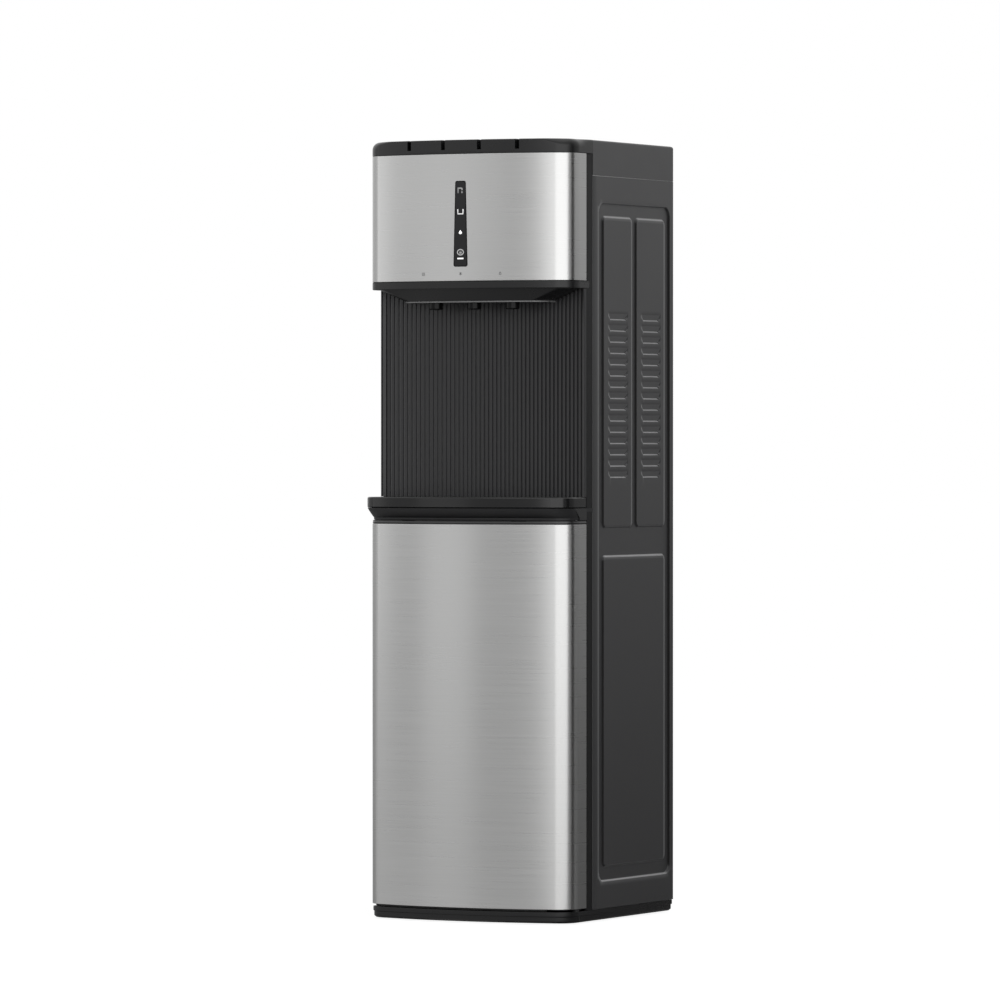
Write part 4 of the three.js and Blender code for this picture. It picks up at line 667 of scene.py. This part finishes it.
skirt_moulding = moulding("skirt_moulding", (0.022, 0.022, 0.023), 0.5, shine=0.3)
tray_skirt()
tray_gloss = moulding("tray_gloss", (0.0095, 0.0095, 0.010), 0.17, shine=0.29)
dress(tray_gloss, 0.0003, "drip_tray")
dress(black_moulding, 0.0004, "drip_grille")


# ------------------------------------------------------------------ dispensing niche
# The rear wall of the niche is one hollow black moulding with close upright ribs, between two fins.
# The nozzle housing over it is a moulding too, with three nozzles and a bead round its lip
# that is painted light grey as a highlight.
niche_moulding = moulding("niche_moulding", (0.022, 0.022, 0.023), 0.38, shine=0.35)
dress(niche_moulding, 0.0004, "niche_wall")
# A light grey that paints the highlight along the lip's bead.
bead_painted_highlight = moulding("bead_painted_highlight", (0.22, 0.22, 0.222), 0.30)
ledge_inset = 0.010
lip_half = 0.106
lip_set = 0.021
lip_bow = 0.44
lip_corner = 0.020


def hopper():
    """The nozzle housing: an upright band under the fascia, a ledge beneath it, faces that slope in
    to a beaded lip, and a flat base round the nozzles. Each ring is a bowed outline at one height,
    closed across its back, and the rings are spaced along the profile."""
    low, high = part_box("nozzle_housing")
    half, band, lip = high.x, low.z + 0.0195, low.z + 0.0028
    bow, corner = bow_radius, corner_radius
    rings = [  # half width, distance behind the front, wide radius, corner radius, height
        (half - 0.001, 0.001, bow, corner, high.z),
        (half, 0, bow, corner, high.z - 0.0006),
        (half, 0, bow, corner, band + 0.0008),
        (half - 0.0008, 0.0008, bow, corner, band),
        (half - ledge_inset, ledge_inset, bow, corner - 0.006, band + 0.0002),
        (half - ledge_inset - 0.0008, ledge_inset + 0.001, bow, corner - 0.007, band - 0.0008),
        (lip_half, lip_set, lip_bow, lip_corner, lip + 0.0006),
        (lip_half + 0.0007, lip_set - 0.0007, lip_bow, lip_corner, lip),
        (lip_half + 0.0005, lip_set - 0.0005, lip_bow, lip_corner, lip - 0.0012),
        (lip_half - 0.0012, lip_set + 0.0012, lip_bow, lip_corner, lip - 0.0014),
        (lip_half - 0.0022, lip_set + 0.0022, lip_bow, lip_corner, lip - 0.0006),
        (lip_half * 0.55, 0.040, lip_bow, lip_corner, lip - 0.0006),
    ]
    back_step = 0.0006  # each ring closes this much before the one above it
    points = []
    for k, (wide, behind, bow, corner, z) in enumerate(rings):
        plan = bow_outline(wide, low.y + behind, high.y - back_step * k, bow, corner, (90, 24, 8))
        points.append(raised(plan, z))
    shell = np.stack(points)[::-1]
    made = grid_piece("outlet_hopper", shell, black_moulding, "cabinet", closed=True, smooth=14)
    # The faces round the lip take the bead's painted highlight.
    made.data.materials.append(bead_painted_highlight)
    row = np.repeat(np.arange(len(rings) - 1), len(points[0]))
    made.data.polygons.foreach_set("material_index", ((row >= 2) & (row <= 4)).astype(np.int32))
    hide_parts("nozzle_housing")


def niche_fins():
    """Upright fins that close the ribbed wall at its two ends: a rounded front edge on the outside
    and a face that slopes back to the wall."""
    low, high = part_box("niche_wall")
    post_low, post_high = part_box("front_post_right")
    outer, inner = post_high.x, post_low.x - 0.0001
    front, back = post_low.y - 0.0066, post_low.y - 0.0003
    rounded = [(0, back), (0, front + 0.0009), (0.0003, front + 0.0002), (0.001, front)]
    rounded += [(0.0017, front + 0.0003)]
    sloped = [(outer - 0.0017, post_low.y - 0.0036), (inner, post_low.y - 0.0018), (inner, back)]
    plan = np.array([(outer - inset, y) for inset, y in rounded] + sloped)
    for side, name in ((-1, "left"), (1, "right")):
        points = carried(plan * (side, 1), (low.z + 0.0146, high.z - 0.0022))
        fin = grid_piece("niche_fin_" + name, points[::side], niche_moulding, "cabinet", closed=True)


hopper()
niche_fins()
nozzle_moulding = moulding("nozzle_moulding", (0.004, 0.004, 0.0042), 0.22, shine=0.12)
dress(nozzle_moulding, 0.0004, "nozzle_hot", "nozzle_room", "nozzle_cold")


# ------------------------------------------------------------------ fascia and display
# The same steel over a black carrier, with a tapering gloss lens whose signs glow, and three small
# printed marks on the steel under it.
steel_sheet("fascia_steel", "fascia_skin", "cabinet")
dress(black_moulding, 0.0004, "fascia_carrier")

lens_gloss, tree, skin = shader("display_gloss")
haze = add(tree, "ShaderNodeGroup", {"Sink": 60.0}, node_tree=grain_group).outputs["Patch"]
feed(tree, skin, {"Base Color": (0.007, 0.007, 0.008, 1), "Specular IOR Level": 0.22})
feed(tree, skin, {"Roughness": span(tree, haze, 0.08, 0.20)})
dress(lens_gloss, 0.0003, "display_lens")

icon_light, tree, skin = shader("icon_light")
haze = add(tree, "ShaderNodeGroup", node_tree=grain_group).outputs["Patch"]
level = add(tree, "ShaderNodeAttribute", attribute_name="level").outputs["Fac"]
glow = maths(tree, "MULTIPLY", level, span(tree, haze, 0.85, 1.0))
feed(tree, skin, {"Roughness": 0.35, "Base Color": glow, "Emission Color": glow, "Emission Strength": 0.85})

border_ink = moulding("border_ink", (0.0015, 0.0015, 0.0016), 0.4, shine=0.1)
mark_ink = moulding("mark_ink", (0.05, 0.05, 0.052), 0.5)


def stroke(path, width, closed=False):
    """A flat band along a path of (x, z) points: each point moved half the width to either side,
    square to the path's direction there."""
    path = np.asarray(path, float)
    if closed:
        ahead, behind = np.roll(path, -1, 0), np.roll(path, 1, 0)
    else:
        ahead = np.concatenate([path[1:], path[-1:] * 2 - path[-2:-1]])
        behind = np.concatenate([path[:1] * 2 - path[1:2], path[:-1]])
    run = ahead - behind
    run /= np.hypot(run[:, 0], run[:, 1])[:, None]
    side = np.stack([-run[:, 1], run[:, 0]], 1) * width / 2
    return np.stack([path + side, path - side]), closed


def disc(path):
    """A filled shape: the path and the same path drawn in to its own middle."""
    path = np.asarray(path, float)
    return np.stack([path, np.broadcast_to(path.mean(0), path.shape) + (path - path.mean(0)) * 0.02]), True


def arc(x, z, radius_x, radius_z, start, end, count=24):
    """Points on an ellipse between two angles in degrees."""
    turn = np.radians(np.linspace(start, end, count, endpoint=abs(end - start) < 359))
    return np.stack([x + radius_x * np.cos(turn), z + radius_z * np.sin(turn)], 1)


def joined(parts):
    """The points and faces of several parts in one, each part's faces numbered on from the last."""
    points, faces = [], []
    for spots, sides in parts:
        start = sum(len(p) for p in points)
        points.append(spots)
        faces += [[start + k for k in side] for side in sides]
    return np.concatenate(points), faces


def printed(name, shapes, scale, x, z, front, material, levels):
    """Flat printed shapes in millimetres, laid on the bowed front round (x, z)."""
    parts, tones = [], []
    for (bands, closed), level in zip(shapes, levels):
        count = bands.shape[1]
        flat = bands.reshape(-1, 2) * scale / 1000
        px = x + flat[:, 0]
        py = front + bow_radius - np.sqrt(bow_radius**2 - px**2)
        a = np.arange(count if closed else count - 1)
        b = (a + 1) % count
        faces = np.stack([a, b, b + count, a + count], 1).tolist()
        parts.append((np.stack([px, py, z + flat[:, 1]], 1), faces))
        tones.append(np.full(len(px), level))
    made = mesh_piece(name, *joined(parts), material, "cabinet")
    mark_points(made, "level", np.concatenate(tones))
    normal = np.empty(len(made.data.polygons) * 3)
    made.data.polygons.foreach_get("normal", normal)
    if normal[1::3].mean() > 0:
        made.data.flip_normals()
    thicken(made, 0.00006, 1.0)
    return made


def lens_border():
    """A dull black print round the lens, on its face: a rounded tapering frame."""
    low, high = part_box("display_lens")
    inset, taper, radius = 0.0006, 0.0026, 0.0022
    wide, narrow = high.x - inset, high.x - inset - taper
    top, foot, middle = high.z - inset, low.z + inset, (low.z + high.z) / 2
    path = []
    for x, z, start in ((narrow, top, 0), (-narrow, top, 90), (-wide, foot, 180), (wide, foot, 270)):
        centre_x, centre_z = x - math.copysign(radius, x), z - math.copysign(radius, z - middle)
        path.append(arc(centre_x, centre_z, radius, radius, start, start + 90, 7))
    path = (np.concatenate(path) - (0, middle)) * 1000
    made = printed("lens_border", [stroke(path, 1.3, True)], 1.0, 0.0, middle, lens_face, border_ink, [0.0])


lens_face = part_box("display_lens")[0].y - 0.00004
drop = np.concatenate([arc(0, -0.6, 1.9, 1.9, -225, 45, 26), [(0.0, 3.0)]])
spout = stroke([(-4, 3), (1.5, 3), (2.4, 2.2), (2.4, 0.2)], 1.8)
tap = [spout, stroke([(-3.6, 3.6), (-3.6, -3.6)], 1.8), disc(arc(2.4, -2.4, 1.1, 1.3, 0, 360))]
cup = [stroke([(-4.0, 3.4), (-3.8, -2.9), (3.8, -2.9), (4.0, 3.4)], 1.7)]
lock_body = disc([(-1.8, 0.2), (-1.8, -2.0), (1.8, -2.0), (1.8, 0.2)])
lock_ring = stroke(arc(0, 0, 4.5, 3.7, 0, 360, 32), 1.3, True)
lock = [lock_ring, stroke(arc(0, 0.3, 1.1, 1.4, 0, 180), 0.6), lock_body]
bar_end = [(-4.4, 0.9), (-4.6, 0.7), (-4.6, -0.7), (-4.4, -0.9)]
bar = [disc(bar_end + [(-x, z) for x, z in bar_end[::-1]])]
icons = {  # height on the lens, shapes, brightness of each
    "icon_tap": (0.982, tap, (0.24, 0.16, 0.2)),
    "icon_cup": (0.9535, cup, (0.62,)),
    "icon_drop": (0.926, [disc(drop * (1.25, 1.0))], (1.0,)),
    "icon_lock": (0.8992, lock, (0.34, 0.25, 0.25)),
    "icon_bar": (0.8908, bar, (1.0,)),
}
for name, (height, shapes, levels) in icons.items():
    printed(name, shapes, 1.0, 0.0, height, lens_face, icon_light, levels)

lens_border()

steel_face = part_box("fascia_skin")[0].y - 0.00002
mark_height = 0.8705
mark_scale = 1.15
wisp = np.array([(-0.25, -2.0), (0.3, -1.0), (-0.3, 0.4), (0.25, 1.8)])
steam = [stroke(wisp + (x, 0), 0.55) for x in (-1.5, 0.0, 1.5)]
spokes = ((0.0, 1.0), (0.87, 0.5), (0.87, -0.5))
flake = [stroke([(-2.0 * x, -2.0 * z), (2.0 * x, 2.0 * z)], 0.5) for x, z in spokes]
marks = {
    "mark_hot": (-0.058, steam),
    "mark_cold": (0.0, flake),
    "mark_room": (0.058, [stroke(drop * 0.62, 0.55, True)]),
}
for name, (x, shapes) in marks.items():
    levels = [0.1] * len(shapes)
    printed(name, shapes, mark_scale, x, mark_height, steel_face, mark_ink, levels)

board_green = moulding("board_green", (0.020, 0.110, 0.060), 0.35)
dress(board_green, 0.0002, "display_board")


# ------------------------------------------------------------------ cap and keys
# The black moulded cap closes the head. Its front edge holds the three keys that let the water run,
# each a moulding that laps over the cap's foot and stands on its switch.
cap_edge = 0.0024
corner_edge = 0.0104
key_width = 0.0484
key_pitch = 0.0543
key_reach = 0.0226
key_foot = 0.0052
lap_foot = 0.0022
key_travel = 0.0012
lap_depth = 0.0004
edge_turns = np.linspace(0, math.pi / 2, 10)


def bow_front(x, half, apex):
    """Depth of a bowed front at x: on the wide arc, or on the corner arc beyond its end."""
    bow, corner = bow_radius, corner_radius
    wide = apex + bow - np.sqrt(bow**2 - np.minimum(np.abs(x), half * 0.99) ** 2)
    reach = np.clip(np.abs(x) - (half - corner), 0, corner)
    tight = corner_centre(half, apex, bow, corner) - np.sqrt(corner**2 - reach**2)
    return np.where(np.abs(x) > (half - corner) * bow / (bow - corner), tight, wide)


def cap_profile(plan, top, foot, rear, sink):
    """Rows of points from the cap's foot up its front, round the edge and back along its top, over
    each point of a plan line. The edge is a quarter circle, small along the front and sides and wide
    round the corners. sink draws the rows under the keys in, so that the keys lie over them."""
    run = np.gradient(plan, axis=0)
    inward = np.stack([-run[:, 1], run[:, 0]], 1) / np.hypot(run[:, 0], run[:, 1])[:, None]
    inward *= np.sign((inward * (np.array([0, rear]) - plan)).sum(1))[:, None]
    round_corner = ease((np.abs(plan[:, 0]) - 0.112) / 0.034) * ease((rear - plan[:, 1]) / 0.03)
    edge = cap_edge + (corner_edge - cap_edge) * round_corner
    ledge = lap_foot - key_travel  # where a pressed key's lap comes to
    rows = []
    for height, depth in ((0.0, 0.0006), (0.0004, 0.0), (ledge - 0.0003, 0.0)):
        rows.append(raised(plan + inward * depth, foot + height))
    for height in (ledge - 0.0002, key_foot):
        rows.append(raised(plan + inward * (sink * lap_depth)[:, None], foot + height))
    rows.append(raised(plan, foot + key_foot + (top - edge - foot - key_foot) * 0.6))
    for turn in edge_turns:
        depth = (edge * (1 - math.cos(turn)))[:, None]
        rows.append(raised(plan + inward * depth, top - edge + edge * math.sin(turn)))
    brink = rows[-1]
    for part in (0.25, 0.5, 0.75, 1.0):
        row = brink.copy()
        row[:, 1] += (rear - row[:, 1]) * part
        rows.append(row)
    return np.stack(rows)


def head_cap(low, high, window, back_wall):
    """One bowed shell, sunk a little under each key. The keys' window is a gap in its faces, whose
    rear row is moved to the back wall."""
    apex, front_end = low.y, low.y + bow_end
    marks = [k * key_pitch + s * key_width / 2 for k in (-1, 0, 1) for s in (-1, 1)]
    marks = np.array([-window] + marks + [window])
    plan = bow_outline(high.x, apex, high.y, steps=(160, 40, 6))
    for mark in marks:
        near = np.abs(plan[:, 0] - mark) + (plan[:, 1] > front_end)
        plan[near.argmin(), 0] = mark
    x, y = plan.T
    plan[:, 1] = np.where(np.isin(x, marks), bow_front(x, high.x, apex), y)
    on_front = y < front_end
    under_key = np.zeros(len(plan))
    for k in (-1, 0, 1):
        under_key[(np.abs(x - k * key_pitch) < key_width / 2 - 1e-5) & on_front] = 1
    points = cap_profile(plan, high.z, low.z, high.y, under_key)
    rows, columns = points.shape[:2]
    at_window = (np.abs(x) <= window + 1e-6) & on_front
    points[rows - 4, :, 1] = np.where(at_window, back_wall, points[rows - 4, :, 1])
    faces = np.roll(quads(rows, columns), -1, 2)  # the first corner sets how a bent face is split
    open_cell = np.zeros(faces.shape[:2], bool)
    middle = (plan[1:] + plan[:-1]) / 2
    open_cell[4 : rows - 4, (np.abs(middle[:, 0]) < window) & (middle[:, 1] < front_end)] = True
    faces = faces[~open_cell].reshape(-1, 4).tolist()
    made = mesh_piece("head_cap", points.reshape(-1, 3), faces, black_moulding, "cabinet", 30)
    thicken(made, 0.0023)
    modify(made, "smooth", "NODES", node_group=smooth_tree)
    flatten(made)
    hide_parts("front_cap")


def key_well(low, high, window, back_wall):
    """The wall behind the keys."""
    foot, top = low.z + 0.0006, high.z - 0.001
    outline = ((-window, foot), (window, foot), (window, top), (-window, top))
    corners = [(x, back_wall, z) for x, z in outline]
    wall = mesh_piece("key_well", corners, [(0, 1, 2, 3)], black_moulding, "cabinet")
    thicken(wall, 0.002)


def tube_faces(rings, count):
    """Faces of a closed tube: four-sided ones between its rings, and one over each end."""
    number = np.arange(rings * count).reshape(rings, count)
    ends = [number[0].tolist(), number[-1, ::-1].tolist()]
    return quads(rings, count, closed=True).reshape(-1, 4).tolist() + ends


def pour_key(name, place, low, high):
    """A closed block with the cap's own front and edge, whose face laps over the cap's foot. Its
    profile of (depth behind the front, height) is carried along the bow, a depth of None being its
    flat back."""
    foot, top = low.z, high.z - 0.0001
    lap_top, body_foot = foot + key_foot + 0.0013, foot + 0.0078
    x = np.linspace(place - key_width / 2, place + key_width / 2, 33)
    y = bow_front(x, high.x, low.y)
    profile = [(0.0, foot + lap_foot), (0.0, foot + key_foot + 0.0015), (0.0, top - cap_edge)]
    profile += [(cap_edge * (1 - math.cos(t)), top - cap_edge * (1 - math.sin(t))) for t in edge_turns[1:]]
    profile += [(None, top), (None, body_foot), (0.005, body_foot), (0.005, lap_top)]
    profile += [(lap_depth * 0.7, lap_top), (lap_depth * 0.7, foot + lap_foot)]
    depths = [np.full(len(x), low.y + key_reach) if depth is None else y + depth for depth, _ in profile]
    points = np.stack([raised(np.c_[x, depth], z) for depth, (_, z) in zip(depths, profile)], 1)
    faces = tube_faces(len(x), len(profile))
    key = mesh_piece("pour_key_" + name, points.reshape(-1, 3), faces, black_moulding, "key_" + name, 30)
    round_edges(key, 0.0004, 50)
    flatten(key)
    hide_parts("key_" + name)


cap_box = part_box("front_cap")
key_window = 1.5 * key_pitch + (key_pitch - key_width) / 2
back_wall = cap_box[0].y + key_reach + 0.0006
head_cap(*cap_box, key_window, back_wall)
key_well(*cap_box, key_window, back_wall)
for name, place in (("hot", -key_pitch), ("cold", 0.0), ("room", key_pitch)):
    pour_key(name, place, *cap_box)
dress(glide_rubber, 0.0003, "switch_hot", "switch_room", "switch_cold")


# ------------------------------------------------------------------ inside the cabinet
# A cold tank in a foam jacket and a steel hot tank stand on a plated deck, with silicone outlet
# tubes. The painted compressor and the pump stand on a plated shelf.
foam_jacket = moulding("foam_jacket", (0.70, 0.67, 0.60), 0.85, grain=300.0, depth=0.0003)
tank_steel = plating("tank_steel", (0.58, 0.58, 0.58), 0.24)
compressor_paint = coating("compressor_paint", (0.012, 0.012, 0.013), 0.30)
tube_silicone = moulding("tube_silicone", (0.62, 0.64, 0.64), 0.35)
pale_moulding = moulding("pale_moulding", (0.72, 0.72, 0.70), 0.45)
dress(zinc_plate, 0.0004, "machine_shelf", "tank_deck")
dress(foam_jacket, 0.0, "cold_tank")
dress(tank_steel, 0.0, "hot_tank")
dress(compressor_paint, 0.0005, "compressor", "water_pump")
dress(pale_moulding, 0.0006, "control_box")
dress(tube_silicone, 0.0, "outlet_tube_hot", "outlet_tube_room", "outlet_tube_cold")


# ------------------------------------------------------------------ condenser
# A black steel tube bent to and fro, with upright wires welded across its rear to spread the heat.
# Four short stand-offs hold it clear of the rear panel.
def rod(path, radius, side, count):
    """A round rod: rings square to its path, joined by four-sided faces, with one face on each end."""
    path = np.asarray(path, float)
    run = np.gradient(path, axis=0)
    across = np.cross(run / np.linalg.norm(run, axis=1)[:, None], side)
    turn = np.arange(count) * 2 * math.pi / count
    out = np.cos(turn)[None, :, None] * across[:, None] + np.sin(turn)[None, :, None] * np.array(side, float)
    return (path[:, None] + radius * out).reshape(-1, 3), tube_faces(len(path), count)


def coil_grid():
    """Six level passes joined by half circles in the x-z plane, seven wires, four stand-offs."""
    low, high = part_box("condenser_grid")
    passes, pitch, radius, wire, stand_off = 6, 0.046, 0.0027, 0.0008, 0.0024
    half = high.x - pitch / 2 - 0.0029
    z0, y = low.z + 0.012, high.y - 2 * wire - radius + 0.0004
    turn = np.radians(np.arange(-90, 91, 10))
    path = [(half, y, z0)]
    for i in range(passes - 1):
        side = -1 if i % 2 == 0 else 1
        centre = z0 + (i + 0.5) * pitch
        bend_x, bend_z = side * (half + pitch / 2 * np.cos(turn)), centre + pitch / 2 * np.sin(turn)
        path += np.stack([bend_x, np.full(len(turn), y), bend_z], 1).tolist()
    path.append((half, y, z0 + (passes - 1) * pitch))
    pieces = [rod(path, radius, (0, 1, 0), 14)]
    wire_y = high.y - wire
    for x in np.linspace(-half + 0.006, half - 0.006, 7):
        upright = [(x, wire_y, low.z), (x, wire_y, (low.z + high.z) / 2), (x, wire_y, high.z)]
        pieces.append(rod(upright, wire, (0, 1, 0), 8))
    for x in (-half + 0.024, half - 0.024):
        for k in (1, passes - 2):
            z = z0 + k * pitch
            pieces.append(rod([(x, low.y, z), (x, (low.y + y) / 2, z), (x, y, z)], stand_off, (1, 0, 0), 12))
    made = mesh_piece("condenser_coil", *joined(pieces), compressor_paint, "cabinet", 45)
    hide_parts("condenser_grid")


coil_grid()


# ------------------------------------------------------------------ rear fittings
# Two rocker switches on a moulded plate that is screwed to the rear, a rubber cord gland, and the
# moulded drain with its pull-off cap.
red_rocker = moulding("red_rocker", (0.42, 0.020, 0.014), 0.25)
blue_rocker = moulding("blue_rocker", (0.020, 0.070, 0.30), 0.25)
dress(black_moulding, 0.0004, "switch_plate", "drain_outlet")
dress(red_rocker, 0.0005, "rocker_hot")
dress(blue_rocker, 0.0005, "rocker_cold")
dress(glide_rubber, 0.0004, "power_gland")
dress(black_moulding, 0.0006, "drain_cap")


# ------------------------------------------------------------------ screws
# Zinc-plated pan-head screws with a cross slot, turned in from behind: four up each edge of both
# rear panels and two that hold the switch plate.
def screws(name, spots, radius):
    """One mesh of like screws. Each head is a low dome of rings round an axis along y; the cross is
    sunk where either coordinate across the head is small and the other is inside the slot's reach."""
    rings = np.array([0.0, 0.16, 0.3, 0.44, 0.58, 0.72, 0.86, 0.96, 1.0])
    turn = np.linspace(0, 2 * math.pi, 33)[:-1]
    ring, angle = np.meshgrid(rings, turn, indexing="ij")
    across, up = ring * np.cos(angle), ring * np.sin(angle)
    dome = 0.55 * np.sqrt(np.clip(1 - (ring * 0.97) ** 2, 0, 1))
    near, far = np.sort(np.abs([across, up]), 0)
    slot = (near < 0.13) * (far < 0.62)
    head = np.stack([across * radius, (dome - 0.32 * slot) * radius, up * radius], 2).reshape(-1, 3)
    faces = quads(len(rings), len(turn), closed=True).reshape(-1, 4)[:, ::-1].tolist()
    parts = [(head + np.array(spot), faces) for spot in spots]
    made = mesh_piece(name, *joined(parts), screw_zinc, "cabinet", 40)
    modify(made, "join", "WELD", merge_threshold=0.00002)


screw_zinc = plating("screw_zinc", (0.30, 0.30, 0.31), 0.32)
lower_low, lower_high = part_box("back_panel_lower")
upper_low, upper_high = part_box("back_panel_upper")
plate_low, plate_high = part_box("switch_plate")
rear_face = lower_high.y - 0.0001
column = lower_high.x - 0.0075
screw_margin = 0.012  # from a panel's end to its last screw
plate_margin_x = 0.0045
plate_margin_z = 0.010
spots = []
for foot, head in ((lower_low.z + 0.03, lower_high.z), (upper_low.z + screw_margin, upper_high.z)):
    heights = np.linspace(foot, head - screw_margin, 4)
    spots += [(side * column, rear_face, z) for side in (-1, 1) for z in heights]
screws("rear_screws", spots, 0.0034)
upper_spot = (plate_low.x + plate_margin_x, rear_face, plate_high.z + plate_margin_z)
lower_spot = (plate_high.x - plate_margin_x, rear_face, plate_low.z - plate_margin_z)
screws("plate_screws", [upper_spot, lower_spot], 0.0026)


# ------------------------------------------------------------------ lamps
# A broad softbox at the right front, three narrow ones at the left front and one overhead. Cards at
# the right, seen by reflections only, give the steel's wrapped edge and the cabinet their depth.
def stand(made, azimuth, distance, height, aim):
    """Puts a lamp or card at an azimuth in degrees from straight ahead, facing the object."""
    angle = math.radians(azimuth)
    spot = Vector((math.sin(angle) * distance, -math.cos(angle) * distance, height))
    made.location = spot
    made.rotation_euler = (Vector((0, 0, aim)) - spot).to_track_quat("-Z", "Y").to_euler()
    made.visible_camera = False


def softbox(name, azimuth, distance, height, width, tall, radiance, aim=0.55):
    """A rectangular lamp of the given radiance."""
    data = bpy.data.lights.new(name, "AREA")
    data.shape = "RECTANGLE"
    data.size = width
    data.size_y = tall
    data.energy = radiance * width * tall * math.pi
    made = bpy.data.objects.new(name, data)
    bpy.context.scene.collection.objects.link(made)
    stand(made, azimuth, distance, height, aim)


def card(name, azimuth, distance, height, width, tall, low, high):
    """An upright card that only reflections see, its brightness rising from its foot to its head."""
    finish = bpy.data.materials.new(name)
    finish.use_nodes = True
    tree = finish.node_tree
    tree.nodes.clear()
    spot = add(tree, "ShaderNodeTexCoord").outputs["Object"]
    up = add(tree, "ShaderNodeSeparateXYZ", {0: spot}).outputs["Y"]
    strength = span(tree, up, low, high, -tall / 2, tall / 2)
    glow = add(tree, "ShaderNodeEmission", {"Strength": strength}).outputs[0]
    add(tree, "ShaderNodeOutputMaterial", {"Surface": glow})
    made = rectangle(name, width / 2, tall / 2, finish)
    stand(made, azimuth, distance, height, height)
    made.visible_diffuse = False
    made.visible_shadow = False


softbox("key_lamp", 37.2, 3.0, 1.25, 4.14, 2.4, 1.55)
softbox("head_lamp", -31, 3.2, 1.2, 2.3, 0.5, 0.5, 1.1)
softbox("left_lamp", -62, 3.2, 1.07, 0.95, 1.5, 0.75)
softbox("strip_lamp", -31, 3.2, 0.38, 1.0, 0.55, 0.7, 0.35)
softbox("top_lamp", 20, 0.5, 3.2, 2.2, 2.2, 0.8)
card("dark_card", 95, 2.2, 1.5, 0.72, 3.0, 0.02, 0.02)
card("grey_card", 134, 2.4, 0.8, 2.3, 1.6, 0.11, 0.86)
card("grey_card_head", 134, 2.4, 2.4, 2.3, 1.6, 0.86, 0.9)
